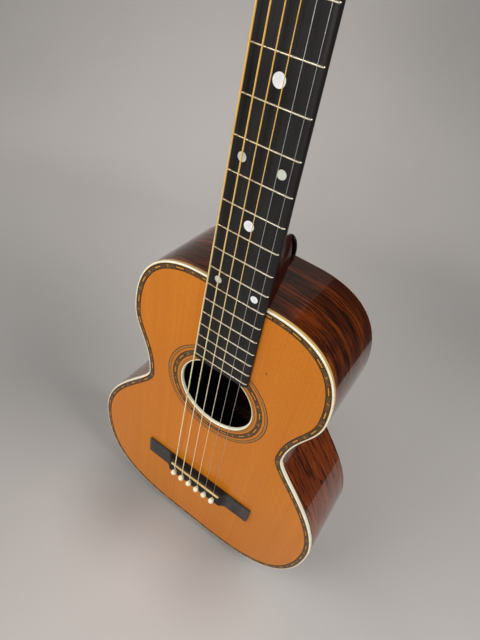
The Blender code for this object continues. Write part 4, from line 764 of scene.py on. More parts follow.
def makeNeck():
    # rings of (matrix, half width, depth, section, place): heel, its sweep, shaft, then the head tipping back
    n = neck
    straight = Matrix.Translation((0, frontY, 0))
    full = backFace(0, shoulderZ) - frontY - n["heelCapThickness"] - gap
    start, cap, heel = shoulderZ + gap, n["heelCapLength"], n["heelLength"]
    rings = []
    for share in np.sin(np.linspace(0, 1.29, 9)):
        z = start + share * cap
        rings.append((straight, boardHalf(z), full, heelShape(n["footShare"] * math.sqrt(1 - share ** 2)), z))
    for along, depth in bezier((cap, full), (cap * 1.5, full * 0.60), (heel * 0.5, n["depthAtHeel"]),
                               (heel, n["depthAtHeel"]), 26):
        soft = min(1.0, (along - cap) / (heel - cap) * 1.6) ** 0.7
        shape = heelShape(0.0) * (1 - soft) + softShape * soft
        rings.append((straight, boardHalf(start + along), depth, shape, start + along))
    for share in np.linspace(0.1, 0.97, 8):
        z = start + heel + (nutZ - start - heel) * share
        depth = n["depthAtHeel"] + (n["depthAtNut"] - n["depthAtHeel"]) * share
        rings.append((straight, boardHalf(z), depth, softShape, z))
    rings.append((straight, n["nutWidth"] / 2, n["depthAtNut"], roundShape * 0.85 + boxShape * 0.15, headZ))
    for half, along in headOutline()[1:]:
        box = np.interp(along, [0, 0.0118, 0.018, 0.024], [0.15, 0.5, 0.8, 1.0])
        depth = np.interp(along, [0, 0.0118], [n["depthAtNut"], n["headThickness"]])
        rings.append((headMatrix, half, depth, roundShape * (1 - box) + boxShape * box, along))
    points = []
    for matrix, half, depth, (x, y), z in rings:
        right = together(half * x, depth * y, z)
        points.append(moved(np.concatenate([right, right[-2::-1] * (-1, 1, 1)]), matrix))
    shaft = gridPiece("neckShaft", np.stack(points), closeV=True, caps=True)
    cutAway(shaft, headCutters())

    def darkened(tree, where, wood):
        # darker towards the heel, deepest on it
        share = below(tree, axisOf(tree, where, "Z"), shoulderZ + 0.03, shoulderZ + 0.10, 0.6)
        return blend(tree, share, wood, (30, 10, 6))
    dress(shaft, woodMaterial("neckMahogany", n["wood"], toned=darkened), stands=["neck"])


def headCutters():
    # long slots with half-round ends, right through the head, and a string ramp into each slot's lower end
    n = neck
    middle, radius = (n["slotInner"] + n["slotOuter"]) / 2, (n["slotOuter"] - n["slotInner"]) / 2
    a = np.linspace(0, math.pi, 17)
    arc = radius * np.stack([np.cos(a), np.sin(a)], -1)
    foot = headMatrix @ Matrix.Translation((0, 0.0030, n["slotStart"] + n["rampFoot"])) @ Matrix.Rotation(
        -n["rampSlope"], 4, "X")
    slots, ramps = [], []
    for side in (-1, 1):
        loop = np.concatenate([arc + (side * middle, n["slotEnd"] - radius),
                               (side * middle, n["slotStart"] + radius) - arc])
        slots.append(slabPiece("slotCutter", loop, -0.031, 0.033, 0.0001, "xzy", headMatrix))
        x = sorted((side * (n["slotInner"] + n["rampMargin"]), side * (n["slotOuter"] - n["rampMargin"])))
        loop = easedLoop(boxLoop(x, (-0.017, 0.0)), 0.0025)
        ramps.append(slabPiece("rampCutter", loop, -0.0262, n["rampFoot"], 0.0003, "xyz", foot))
    return slots + ramps


def makeHeadplate():
    # the head's outline carried through the veneer's thickness, with the same slots and ramps
    outline = headOutline()
    outline[0, 1] = gap
    loop = np.concatenate([outline, outline[::-1] * (-1, 1)])
    plate = slabPiece("headVeneer", loop, -gap - neck["plateThickness"], -gap, 0.0004, "xzy", headMatrix)
    cutAway(plate, headCutters())
    material = rosewoodMaterial("headRosewood", turn=(neck["tilt"], 0.0, 0.0), coatRoughness=0.07, coat=0.6)
    dress(plate, material, stands=["headplate"])


ebony = {"across": 520.0, "along": 9.0, "warp": 0.002, "contrast": 0.35, "pores": 0.4, "bump": 0.08,
         "smudges": 24.0, "specular": 0.25, "coatRoughness": 0.2}


def ebonyMaterial(name, tint, smooth, rough, coat):
    return woodMaterial(name, {
        **ebony, "light": [c + 16 for c in tint], "middle": tint, "dark": [max(4, c - 14) for c in tint],
        "smooth": smooth, "rough": rough, "coat": coat})


def makeHeelCap():
    # half ellipse (half cos a, length sin a) carried through the cap's thickness
    half, thick = boardHalf(shoulderZ) * neck["footShare"], neck["heelCapThickness"]
    a = np.linspace(0, math.pi, 25)
    loop = np.stack([half * np.cos(a), shoulderZ + gap + neck["heelCapLength"] * 0.97 * np.sin(a)], -1)
    low = backFace(0, shoulderZ) - thick
    cap = slabPiece("heelCapPlate", loop, low, low + thick, 0.0005, "xzy")
    dress(cap, ebonyMaterial("capEbony", (26, 22, 20), 0.2, 0.35, 0.25), stands=["heel_cap"])


# Fingerboard, frets and dots

board = {"thickness": 0.0036, "end": 0.0062, "corner": 0.0030, "roll": 0.0042, "rollDepth": 0.0018,
         "crown": 0.0003, "frets": 18, "fretWidth": 0.0013, "fretHeight": 0.0009, "fretInset": 0.0005,
         "fretSink": 0.0002, "fretTaper": 0.0009,
         "brightDots": [(5, 0.0, 0.0045), (9, 0.0, 0.0043), (12, 0.0180, 0.0034)],
         "greyDots": [(7, -0.0157, 0.0035), (7, 0.0157, 0.0035), (12, -0.0180, 0.0034)]}
boardBottomY = frontY - gap
boardTopY = boardBottomY - board["thickness"]


def boardDrop(x, half):
    # how far the playing face lies below its middle: crown (x/w)^2, then a quarter ellipse at the edge
    past = np.clip((np.abs(x) - half) / board["roll"] + 1, 0, 1)
    return board["crown"] * (x / half) ** 2 + board["rollDepth"] * (1 - np.sqrt(1 - past ** 2))


def makeFingerboard():
    # rows across the board, top face on its drop and bottom face flat, narrowing round each corner of its end
    b = board
    end = nutZ - fretDistance(b["frets"]) - b["end"]
    z = np.linspace(nutZ - gap, end + b["corner"], 40)
    a = np.linspace(0, math.pi / 2, 8)[1:]
    half = np.concatenate([boardHalf(z), boardHalf(end) - b["corner"] * (1 - np.cos(a))])[:, None]
    z = np.concatenate([z, end + b["corner"] * (1 - np.sin(a))])[:, None]
    x = half * np.sin(np.linspace(-math.pi / 2, math.pi / 2, 41))
    top = together(x, boardTopY + boardDrop(x, half), z)
    low = together(half * np.array([1.0, 0.5, -0.5, -1.0]), boardBottomY, z)
    slab = gridPiece("fingerboardSlab", np.concatenate([top, low], 1), closeV=True, caps=True)
    wood = ebonyMaterial("boardEbony", (29, 28, 27), 0.36, 0.5, 0.0)
    dress(slab, wood, stands=["fingerboard"])


def metalMaterial(name, tint, smooth, rough, dull=(120, 104, 84), grime=0.25, metallic=1.0, bassShadeShare=0.0):
    # duller in smudges, and with painted shade towards the bass side by a share
    material, tree = newMaterial(name, Metallic=metallic)
    where = place(tree)
    wear = worn(tree, where, 150.0, smooth, rough)
    share = times(tree, wear["Grime"], grime)
    if bassShadeShare:
        # painted shade: duller towards the bass side
        side = below(tree, axisOf(tree, where, "X"), -0.022, 0.024, bassShadeShare)
        share = maths(tree, "ADD", share, side, clamp=True)
    return finished(material, blend(tree, share, tint, dull), wear, wear["Height"], 0.06)


def makeFrets():
    # half ellipse carried across the board, riding its drop, with the ends drawn down to nothing
    b = board
    share = np.sin(np.linspace(-math.pi / 2, math.pi / 2, 49))[:, None]
    a = np.linspace(0, math.pi, 11)[None]
    frets = []
    for number in range(1, b["frets"] + 1):
        z = nutZ - fretDistance(number)
        half = boardHalf(z)
        x = (half - b["fretInset"]) * share
        left = np.clip((half - b["fretInset"] - np.abs(x)) / b["fretTaper"], 0, 1)
        taper = np.sqrt(np.clip(1 - (1 - left) ** 2, 0.02, 1))
        rise = (b["fretHeight"] + b["fretSink"]) * np.sin(a) ** 0.8 * taper
        points = together(x, boardTopY + boardDrop(x, half) + b["fretSink"] - rise,
                          z + b["fretWidth"] / 2 * np.cos(a) * taper)
        frets.append(gridPiece("fret", points, closeV=True, caps=True))
    nickel = metalMaterial("nickelFret", (240, 230, 204), 0.26, 0.44, (150, 112, 66), 0.35, 0.85, 0.62)
    dress(joined("fretWires", frets), nickel)


def dotPieces(places):
    # discs that follow the board's face, a hair proud, with an edge going down into the wood
    dots = []
    r = np.array([0.0, 0.35, 0.7, 0.92, 1.0, 1.0])[:, None]
    lift = np.array([0.00008, 0.00008, 0.00007, 0.00006, 0.00003, -0.0005])[:, None]
    a = np.linspace(0, 2 * math.pi, 40, endpoint=False)
    for fret, x, radius in places:
        z = nutZ - (fretDistance(fret) + fretDistance(fret - 1)) / 2
        px = x + radius * r * np.cos(a)
        py = boardTopY + boardDrop(px, boardHalf(z)) - lift
        dots.append(gridPiece("dot", together(px, py, z + radius * r * np.sin(a)), closeV=True, caps=True))
    return dots


def pearlMaterial(name, light, cool, warm):
    material, tree = newMaterial(name, Coat_Weight=0.6, Coat_Roughness=0.08)
    where = place(tree)
    cloud = noise(tree, where, 160.0, 3.0, Distortion=1.2)
    made = blend(tree, ranged(tree, cloud, 0.4, 0.7), light, cool)
    made = blend(tree, ranged(tree, noise(tree, where, 90.0), 0.5, 0.75, 0.0, 0.6), made, warm)
    return finished(material, made, worn(tree, where, 120.0, 0.18, 0.3), cloud, 0.05)


def makeDots():
    for kind, tints in (("Bright", ((250, 250, 250), (236, 238, 242), (248, 240, 232))),
                        ("Grey", ((214, 218, 204), (192, 200, 196), (220, 204, 174)))):
        dots = joined("pearlDots" + kind, dotPieces(board[kind.lower() + "Dots"]))
        dress(dots, pearlMaterial(kind.lower() + "Pearl", *tints))


# Bridge, saddle, nut and pins

bridge = {"length": 0.1620, "width": 0.0290, "height": 0.0080, "wing": 0.0034, "wingStart": 0.0500,
          "raised": 0.0410, "front": 0.0081, "saddleLength": 0.0770, "saddleThickness": 0.0024,
          "saddleHeight": 0.0100, "saddleSunk": 0.0042, "slotDepth": 0.0045,
          "compensation": 0.0020, "pinSetback": 0.0128, "pinRadius": 0.0023,
          "pinBall": 0.0037, "pinLength": 0.0230, "pinWaist": 2.45, "pinTaper": 0.78,
          "plateThickness": 0.0023}
strings = {"diameters": [0.00135, 0.00107, 0.00081, 0.00061, 0.00043, 0.00034], "nutPitch": 0.0079,
           "saddlePitch": 0.0124, "windings": [0.0182, 0.0156, 0.0132], "turns": 2.4, "overFrets": 0.0005,
           "ballRadius": 0.0019, "ballWaist": 0.0012, "ease": 0.0007}
saddleZ = nutZ - neck["scale"] - bridge["compensation"]
pinZ = saddleZ - bridge["pinSetback"]
bridgeTopY = boardBottomY - bridge["height"]
saddleTopY = boardBottomY - bridge["saddleHeight"]


def stringX(index, pitch):
    return (index - 2.5) * pitch


def bridgeTone(tree, where, wood):
    # ebony gone grey with dust on the wings, near black over the raised middle
    side = magnitude(tree, axisOf(tree, where, "X"))
    darkMiddle = below(tree, side, bridge["raised"] - 0.001, bridge["wingStart"], 0.86)
    chip = ranged(tree, noise(tree, where, 150.0, 3.0), 0.5, 0.75, 0.0, 0.3)
    return blend(tree, darkMiddle, blend(tree, chip, wood, (92, 87, 84)), (17, 12, 9))


def makeBridge():
    # thickness profile along its length: thin wings, an S-shaped scoop up to the raised middle
    b = bridge
    ends, bottom = b["length"] / 2, boardBottomY
    wing, start, raised = bottom - b["wing"], b["wingStart"], b["raised"]
    scoop = bezier((start, wing), (start - 0.005, wing), (raised + 0.0015, bridgeTopY + 0.0010),
                   (raised, bridgeTopY), 12)
    right = np.concatenate([[(ends, bottom), (ends, wing + 0.0008), (ends - 0.0006, wing + 0.0003),
                             (ends - 0.0015, wing + 0.0002), (start, wing)], scoop])
    loop = np.concatenate([right, right[::-1] * (-1, 1)])
    high = saddleZ + b["front"]
    block = slabPiece("bridgeBlock", loop, high - b["width"], high, 0.0007, "xyz", steps=5)
    half, thick = b["saddleLength"] / 2 + gap, b["saddleThickness"] / 2 + gap
    slot = easedLoop(boxLoop((-half, half), (saddleZ - thick, saddleZ + thick)), 0.0006)
    cutter = slabPiece("saddleSlot", slot, bridgeTopY - 0.01, bridgeTopY + b["slotDepth"], 0.0001, "xzy")
    cutAway(block, [cutter])
    look = {**ebony, "light": (78, 75, 73), "middle": (63, 60, 58), "dark": (46, 43, 42), "smooth": 0.42,
            "rough": 0.6, "specular": 0.2, "coat": 0.0}
    dress(block, woodMaterial("bridgeEbony", look, toned=bridgeTone), stands=["bridge"])


def boneMaterial(name, light, aged, smooth=0.25, rough=0.42):
    material, tree = newMaterial(name, Coat_Weight=0.3, Coat_Roughness=0.1)
    where = place(tree)
    made = blend(tree, ranged(tree, noise(tree, where, 120.0, 3.0), 0.35, 0.7), light, aged)
    wear = worn(tree, where, 90.0, smooth, rough)
    darkened = blend(tree, times(tree, wear["Grime"], 0.3), made, (168, 128, 78))
    return finished(material, darkened, wear, wear["Height"], 0.08)


def ridgePiece(name, half, foot, tops, z, thickness, endRound, columns=241):
    # bar across X from its foot up: at each x a section with a rounded crest, whose height comes from tops(x)
    x = np.linspace(-half, half, columns)[:, None]
    left = np.clip((half - np.abs(x)) / endRound, 0, 1)
    shrink = np.sqrt(1 - (1 - left) ** 2) * 0.999 + 0.001
    top = tops(x) + (1 - shrink) * endRound * 0.7
    a = np.linspace(0, math.pi, 9)
    reach = thickness / 2 * (0.55 + 0.45 * shrink)
    crest = together(x, top + thickness * 0.35 * (1 - np.sin(a)), z + reach * np.cos(a))
    base = together(x, foot, z + reach * np.array([-1.0, 1.0]))
    return gridPiece(name, np.concatenate([crest, base], 1), closeV=True, caps=True)


def makeSaddle():
    b = bridge
    saddle = ridgePiece("saddleBone", b["saddleLength"] / 2, bridgeTopY + b["saddleSunk"],
                        lambda x: saddleTopY, saddleZ, b["saddleThickness"], 0.0014, 81)
    cream = boneMaterial("saddleCream", (244, 208, 140), (226, 180, 106))
    dress(saddle, cream, stands=["saddle"])


def makePins():
    # ball, waist and shaft of each pin turned about the Y axis
    ball, radius = bridge["pinBall"], bridge["pinRadius"]
    end = 2 * ball + bridge["pinLength"]
    a = np.linspace(0, bridge["pinWaist"], 16)
    profile = np.concatenate([np.stack([ball * np.sin(a), ball * (1 - np.cos(a))], -1),
                              [(radius, 2 * ball), (radius * bridge["pinTaper"], end), (0.0, end)]])
    cream = boneMaterial("pinCream", (255, 250, 224), (255, 240, 198), 0.14, 0.3)
    for index in range(6):
        points = turnedPoints(profile, 28, "xzy") + (stringX(index, strings["saddlePitch"]),
                                                     bridgeTopY - 2 * ball, pinZ)
        pin = gridPiece("stringPin_%d" % (6 - index), points, closeV=True)
        dress(pin, cream, stands=["bridge_pin_%d" % (6 - index)])


def makeNut():
    # crest dips by sqrt(1 - (d/r)^2) of a string's radius where each string lies
    crest = boardTopY - board["fretHeight"] - strings["overFrets"] - neck["nutCrown"]

    def tops(x):
        y = crest
        for index, diameter in enumerate(strings["diameters"]):
            away = (x - stringX(index, strings["nutPitch"])) / (diameter / 2 + gap)
            y = y + (neck["nutCrown"] + diameter * 0.4) * np.sqrt(np.clip(1 - away ** 2, 0, 1))
        return y
    nut = ridgePiece("nutBone", neck["nutWidth"] / 2, frontY - gap, tops, nutZ + neck["nutThickness"] / 2,
                     neck["nutThickness"], 0.0008)
    dress(nut, boneMaterial("nutCream", (244, 230, 192), (226, 202, 150)), stands=["nut"])


# Strings

machines = {"firstRoller": 0.0580, "pitch": 0.0350, "depth": 0.0060, "rollerRadius": 0.0030,
            "innerEnd": 0.0020, "tipRadius": 0.0022, "plateThickness": 0.0013, "plateWidth": 0.0127,
            "margin": 0.0200,
            "earThickness": 0.0013, "earOffset": 0.0056, "earHalf": 0.0034, "teeth": 14, "module": 0.0010,
            "toothTip": 0.00040, "toothRoot": 0.00078, "gearThickness": 0.0028, "wormPitchRadius": 0.0025,
            "wormOuter": 0.0031, "wormCore": 0.0016, "buttonGap": 0.0035, "buttonLength": 0.0165,
            "buttonHalf": 0.0090, "buttonThick": 0.0045, "buttonRound": 0.62, "buttonNeck": 0.0026,
            "collar": 0.0045, "shaftEnd": 0.0120, "screwShift": 0.0045, "screwHead": 0.0022,
            "screwHeight": 0.0011, "hubHeight": 0.0013}
plateOuterX = neck["headHalf"] + gap + machines["plateThickness"]
gearMidX = plateOuterX + gap + machines["wormOuter"]
gearPitchRadius = machines["teeth"] * machines["module"] / 2
wormCentre = gearPitchRadius + machines["wormPitchRadius"]
ballY = frontY + bodyShape["topThickness"] + 2 * gap + bridge["plateThickness"] + strings["ballRadius"]


def rollerOf(index):
    # side of the head, height of the roller and the winding's distance from the centre line
    side, order = (-1, index) if index < 3 else (1, 5 - index)
    return side, machines["firstRoller"] + order * machines["pitch"], strings["windings"][order]


def stringPath(index):
    # from its winding over the nut and the saddle, then down in front of its pin to the ball
    diameter = strings["diameters"][index]
    radius = diameter / 2
    side, height, winding = rollerOf(index)
    above = machines["rollerRadius"] + diameter + gap + radius
    tangent = headMatrix @ Vector((side * winding, machines["depth"] - above, height))
    xNut, xSaddle = stringX(index, strings["nutPitch"]), stringX(index, strings["saddlePitch"])
    nutY = boardTopY - board["fretHeight"] - strings["overFrets"] - radius
    saddleY = saddleTopY - gap - radius
    down = pinZ + bridge["pinRadius"] + gap + radius
    bend = bridge["saddleThickness"] / 4
    return np.array([tuple(tangent), (xNut, nutY + 0.0002, nutZ + neck["nutThickness"] * 0.8),
                     (xNut, nutY, nutZ), (xSaddle, saddleY, saddleZ + bend),
                     (xSaddle, saddleY + 0.0002, saddleZ - bend),
                     (xSaddle, bridgeTopY - gap - radius, down), (xSaddle, ballY, down)])


def woundMaterial(name, light, dark, pale, pitch):
    # wrap wire: a wave along the string's length bumps it and paints shade between the turns
    material, tree = newMaterial(name, Metallic=0.1)
    spot = place(tree)
    along = axisOf(tree, place(tree, "UV"), "X")
    wave = maths(tree, "SINE", times(tree, along, 2 * math.pi / pitch))
    made = blend(tree, ranged(tree, wave, -1.0, 0.4), dark, light)
    # painted highlight: paler towards the bridge
    made = blend(tree, below(tree, axisOf(tree, spot, "Z"), 0.30, 0.64, 0.95), made, pale)
    wear = worn(tree, spot, 70.0, 0.28, 0.5)
    made = blend(tree, times(tree, wear["Grime"], 0.35), made, (120, 84, 40))
    return finished(material, made, wear, wave, 0.4, 0.00008)


def makeStrings():
    bronze = woundMaterial("woundBronze", (255, 208, 100), (226, 166, 62), (255, 246, 196), 0.00036)
    steel = metalMaterial("plainSteel", (222, 220, 214), 0.34, 0.46)
    radius, waist = strings["ballRadius"], strings["ballWaist"]
    a = np.linspace(0, math.pi, 9)
    barrel = np.stack([waist + (radius - waist) * np.sin(a) ** 0.6, -radius * np.cos(a)], -1)
    barrel = np.concatenate([[(0.0, -radius)], barrel, [(0.0, radius)]])
    for index, diameter in enumerate(strings["diameters"]):
        number = 6 - index
        material, slot = (bronze, "bronze_string") if index < 4 else (steel, "plain_string")
        path = eased(stringPath(index), strings["ease"], 5)
        forward = unit(np.gradient(path, axis=0))
        up = unit(np.cross(forward, (1.0, 0.0, 0.0)))
        wire = tubePiece("stringWire_%d" % number, path, np.cross(up, forward), up, diameter / 2,
                         lengthsAlong(path), 12)
        seat = (stringX(index, strings["saddlePitch"]), ballY, pinZ + bridge["pinRadius"] + gap + radius)
        ball = gridPiece("stringBall_%d" % number, turnedPoints(barrel, 20, "yzx") + seat, closeV=True)
        dress(wire, material, stands=["string_%d" % number])
        dress(ball, steel)
        coil = windingPiece("stringWinding_%d" % number, index, diameter)
        dress(coil, material, body="tuner_%d_roller" % number)


def windingPiece(name, index, diameter):
    # helix about the roller: angle from the front of the roller, stepping one diameter inward each turn
    side, height, winding = rollerOf(index)
    turn = np.linspace(0, strings["turns"], int(40 * strings["turns"]))
    a = 2 * math.pi * turn
    r = machines["rollerRadius"] + diameter / 2
    outward = together(0.0, -np.cos(a), np.sin(a))
    centre = together(side * (winding - diameter * turn), machines["depth"], height) + r * outward
    sideways = np.broadcast_to((1.0, 0.0, 0.0), centre.shape)
    return tubePiece(name, centre, outward, sideways, diameter / 2, a * r, 10, headMatrix)


# Tuning machines

def screwPiece(name, radius, height, matrix):
    # dome over a disc mapped from a square, x = u sqrt(1 - v^2/2), with a slot pressed across it
    u, v = np.meshgrid(np.linspace(-1, 1, 21), np.linspace(-1, 1, 21))
    x, y = u * np.sqrt(1 - v * v / 2), v * np.sqrt(1 - u * u / 2)
    dome = height * (0.35 + 0.65 * np.sqrt(np.clip(1 - x * x - y * y, 0, 1)))
    slot = np.clip((0.20 - np.abs(x)) / 0.06, 0, 1)
    top = moved(np.stack([x * radius, y * radius, dome * (1 - 0.6 * slot)], -1), matrix)
    low = moved(together(x * radius, y * radius, -0.0003), matrix)
    rims = [np.concatenate([face[0], face[1:, -1], face[-1, -2::-1], face[-2:0:-1, 0]])
            for face in (top, low)]
    whole = joined(name, [gridPiece(name, top), gridPiece(name, low[::-1]),
                          gridPiece(name, np.stack(rims), closeV=True)])
    tidyMesh(whole.data)
    return whole


def makePlates():
    # a long rounded strip on each side of the head, with a bearing ear on both sides of every worm
    m = machines
    brass = metalMaterial("agedBrass", (190, 152, 88), 0.26, 0.44, (104, 80, 50), 0.6)
    steel = metalMaterial("screwSteel", (176, 168, 152), 0.28, 0.46)
    first, last, inside = m["firstRoller"], m["firstRoller"] + 2 * m["pitch"], neck["headHalf"] + gap
    strip = easedLoop(boxLoop((m["depth"] - m["plateWidth"] / 2, m["depth"] + m["plateWidth"] / 2),
                              (first - m["margin"], last + m["margin"] * 1.15)), 0.005, 6)
    heights = [first - m["margin"] * 0.75, first + m["pitch"] * 0.5 + m["screwShift"],
               first + m["pitch"] * 1.5 + m["screwShift"], last + m["margin"] * 0.9]
    for side, name in ((1, "treble"), (-1, "bass")):
        at = headMatrix @ Matrix.Scale(side, 4, (1, 0, 0))
        pieces = [slabPiece("strip", strip, inside, plateOuterX, 0.0003, "yzx", at)]
        for k in range(3):
            worm = first + k * m["pitch"] + wormCentre
            loop = easedLoop(boxLoop((inside + 0.0006, gearMidX + m["earHalf"]),
                                     (worm - m["earHalf"], worm + m["earHalf"])), 0.0028, 6)
            half = m["earThickness"] / 2
            for y in (m["depth"] - m["earOffset"], m["depth"] + m["earOffset"]):
                pieces.append(slabPiece("ear", loop, y - half, y + half, 0.0002, "xzy", at))
        plate = joined("machinePlate_" + name, pieces)
        tidyMesh(plate.data)
        dress(plate, brass, stands=["tuner_plate_" + name])
        screws = []
        for height in heights:
            seat = Matrix.Translation((plateOuterX - 0.0001, m["depth"], height))
            turned = Matrix.Rotation(math.pi / 2, 4, "Y") @ Matrix.Rotation(height * 40, 4, "Z")
            screws.append(screwPiece("screw", m["screwHead"], m["screwHeight"], at @ seat @ turned))
        heads = joined("plateScrews_" + name, screws)
        tidyMesh(heads.data)
        dress(heads, steel)


def gearLoop():
    # each tooth: root, flank, tip, flank, at its own bearing
    m = machines
    tip, root = gearPitchRadius + 0.5 * m["module"], gearPitchRadius - 1.1 * m["module"]
    middle = math.pi / 2 + (np.arange(m["teeth"]) + 0.5)[:, None] * 2 * math.pi / m["teeth"]
    tipTurn, rootTurn = m["toothTip"] / tip, m["toothRoot"] / root
    bearing = middle + np.array([-rootTurn, -tipTurn, tipTurn, rootTurn])
    radius = np.array([root, tip, tip, root])
    loop = together(radius * np.cos(bearing), radius * np.sin(bearing)).reshape(-1, 2)
    return easedLoop(loop, 0.00022, 2)


def wormPoints():
    # thread: (r cos, pitch t, r sin) with a rounded ridge section, wound right-handed about Y
    m = machines
    turn = np.linspace(-1, 1, 65)
    a = 2 * math.pi * turn + math.pi
    outward = together(np.sin(a), 0.0, np.cos(a))[:, None]
    fade = np.clip((1 - np.abs(turn)) / 0.12, 0.15, 1)[:, None, None]
    crest = m["wormOuter"] - m["wormCore"] - 0.0001
    section = np.array([(-0.0003, -0.0007), (0.0006, -0.0004), (crest, -0.00012), (crest, 0.00012),
                        (0.0006, 0.0004), (-0.0003, 0.0007)])[None]
    reach = m["wormCore"] + section[..., :1] * np.where(section[..., :1] > 0, fade, 1.0)
    lead = math.pi * m["module"]
    return outward * reach + np.array([0, 1, 0]) * (lead * turn[:, None, None] + section[..., 1:])


def makeMachines():
    # for each string a roller post and its wheel, and above them a shaft with its thread and its button
    m = machines
    brass = metalMaterial("gearBrass", (204, 164, 92), 0.24, 0.4, (96, 70, 40), 0.7)
    steel = metalMaterial("machineSteel", (184, 178, 166), 0.22, 0.4)
    bone = boneMaterial("buttonCream", (240, 224, 184), (222, 194, 138), 0.16, 0.32)
    inner = gearMidX - m["gearThickness"] / 2
    outer, thick, tip = inner + m["gearThickness"], m["rollerRadius"], m["tipRadius"]
    post = eased([(0.0, m["innerEnd"]), (thick, m["innerEnd"]), (thick, inner - gap), (tip, inner - gap),
                  (tip, inner + 0.002), (0.0, inner + 0.002)], 0.0003, 3)
    front, rear = -m["earOffset"] - m["earThickness"], neck["headThickness"] + m["shaftEnd"] - m["depth"]
    shaft = eased([(0.0, front), (m["wormCore"], front), (m["wormCore"], rear), (0.0, rear)], 0.0004, 3)
    for index in range(6):
        number = 6 - index
        side, height = rollerOf(index)[:2]
        roller, worm = "tuner_%d_roller" % number, "tuner_%d_worm" % number
        at = headMatrix @ Matrix.Translation((0, m["depth"], height)) @ Matrix.Scale(side, 4, (1, 0, 0))
        rod = gridPiece("rollerPost_%d" % number, moved(turnedPoints(post, 32, "yzx"), at), closeV=True)
        dress(rod, steel, body=roller, stands=["roller_%d" % number])
        wheel = slabPiece("gearWheel_%d" % number, gearLoop(), inner, outer, 0.00015, "yzx", at)
        dress(wheel, brass, body=roller, stands=["gear_%d" % number])
        turned = Matrix.Rotation(math.pi / 2, 4, "Y") @ Matrix.Rotation(0.6 + number, 4, "Z")
        hub = screwPiece("gearScrew_%d" % number, tip * 1.4, m["hubHeight"],
                         at @ Matrix.Translation((outer - 0.0001, 0, 0)) @ turned)
        dress(hub, steel, body=roller)
        centre = headMatrix @ Matrix.Translation((side * gearMidX, m["depth"], height + wormCentre))
        rod = gridPiece("shaft", moved(turnedPoints(shaft, 24, "xzy"), centre), closeV=True)
        thread = gridPiece("thread", moved(wormPoints(), centre), closeV=True, caps=True)
        screw = joined("wormScrew_%d" % number, [rod, thread])
        dress(screw, steel, body=worm, stands=["worm_%d" % number])
        grip = gridPiece("tunerGrip_%d" % number, moved(buttonPoints(), centre), closeV=True)
        dress(grip, bone, body=worm, stands=["button_%d" % number])
    print("tuning machines done")


def buttonPoints():
    # ellipse whose half width follows a rounded paddle along its length, on a short collar
    m = machines
    start = neck["headThickness"] + m["buttonGap"] - m["depth"]
    t = np.linspace(0, 1, 23)
    y = start + m["collar"] + (m["buttonLength"] - m["collar"]) * (1 - np.cos(math.pi * t)) / 2
    swell, least = np.sin(math.pi * t) ** m["buttonRound"], m["buttonNeck"]
    wide, thick = m["buttonHalf"] * swell, m["buttonThick"] * swell * (0.9 + 0.1 * t)
    wide[1], thick[1] = np.maximum(wide[1], least), np.maximum(thick[1], least)
    a = np.linspace(0, 2 * math.pi, 36, endpoint=False)
    paddle = together(thick[:, None] * np.cos(a), y[:, None], wide[:, None] * np.sin(a))
    collar = turnedPoints(eased([(0.0020, start), (0.0028, start), (0.0032, start + 0.0042),
                                 (0.0024, start + 0.0052)], 0.0006, 3), 36, "xzy")
    return np.concatenate([collar[:1] * (0, 1, 0), collar, paddle[1:]])


# End pin

# radius and height, counted from its seat in the tail for the shank and flange, from the ground for the knob
endPin = {"shank": [(0.0, 0.0180), (0.0031, 0.0180), (0.0036, 0.0)],
          "flange": [(0.0068, 0.0), (0.0068, -0.0018), (0.0040, -0.0035), (0.0040, -0.0060)],
          "knob": [(0.0064, 0.0025), (0.0052, 0.0), (0.0, 0.0)], "ease": 0.0007, "sides": 48}


def makeEndPin():
    # its profile turned about the centre line
    seat = bodyShape["tailZ"] - gap
    profile = [(radius, seat + height) for radius, height in endPin["shank"] + endPin["flange"]]
    points = turnedPoints(eased(profile + endPin["knob"], endPin["ease"]), endPin["sides"])
    pin = gridPiece("strapPin", points, closeV=True)
    dress(pin, ebonyMaterial("pinEbony", (30, 27, 26), 0.2, 0.35, 0.6), stands=["end_pin"])


# Parts of the frame that stay, with their own finish

def finishInside():
    pale = {"across": 380.0, "along": 9.0, "warp": 0.002, "contrast": 0.2, "pores": 0.15, "bump": 0.1,
            "light": (150, 112, 66), "middle": (128, 92, 52), "dark": (96, 64, 36), "smudges": 20.0,
            "smooth": 0.6, "rough": 0.8, "specular": 0.2, "coat": 0.0, "coatRoughness": 0.5}
    block = {**pale, "light": (104, 56, 34), "middle": (84, 44, 27), "dark": (58, 30, 20)}
    spruce = woodMaterial("innerSpruce", pale, turn=(0.0, math.pi / 2, 0.0))
    mahogany = woodMaterial("blockMahogany", block)
    for material, names in ((spruce, ("top_lining_and_braces", "back_lining_and_braces", "bridge_plate")),
                            (mahogany, ("neck_block", "tail_block"))):
        for name in names:
            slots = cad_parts[name].data.materials
            for i in range(len(slots)):
                slots[i] = material
            if not slots:
                slots.append(material)


# Floor, backdrop, light and camera

studio = {"tint": (197, 192, 188), "turn": math.radians(21.7), "rightEdge": 0.745, "leftEdge": -2.3,
          "near": -1.6, "bend": 0.8, "curve": 0.95, "top": 2.6, "under": 0.0004, "world": 0.03}
# painted shadows and one painted pool of light on the paper: place, reach and how much of the light is kept
paintedShadeAndLight = [((-0.60, 1.05, 0.0), 1.1, 1.30), ((-0.42, -0.02, 0.0), 0.5, 0.70),
          ((-0.30, -0.42, 0.0), 0.45, 0.80), ((-0.80, 0.15, 0.0), 0.6, 0.76),
          ((-0.20, 1.80, 0.5), 0.6, 0.82), ((-0.09, -0.08, 0.0), 0.13, 0.68),
          ((0.05, -0.08, 0.0), 0.12, 0.72), ((0.28, 0.74, 0.0), 0.5, 0.78)]
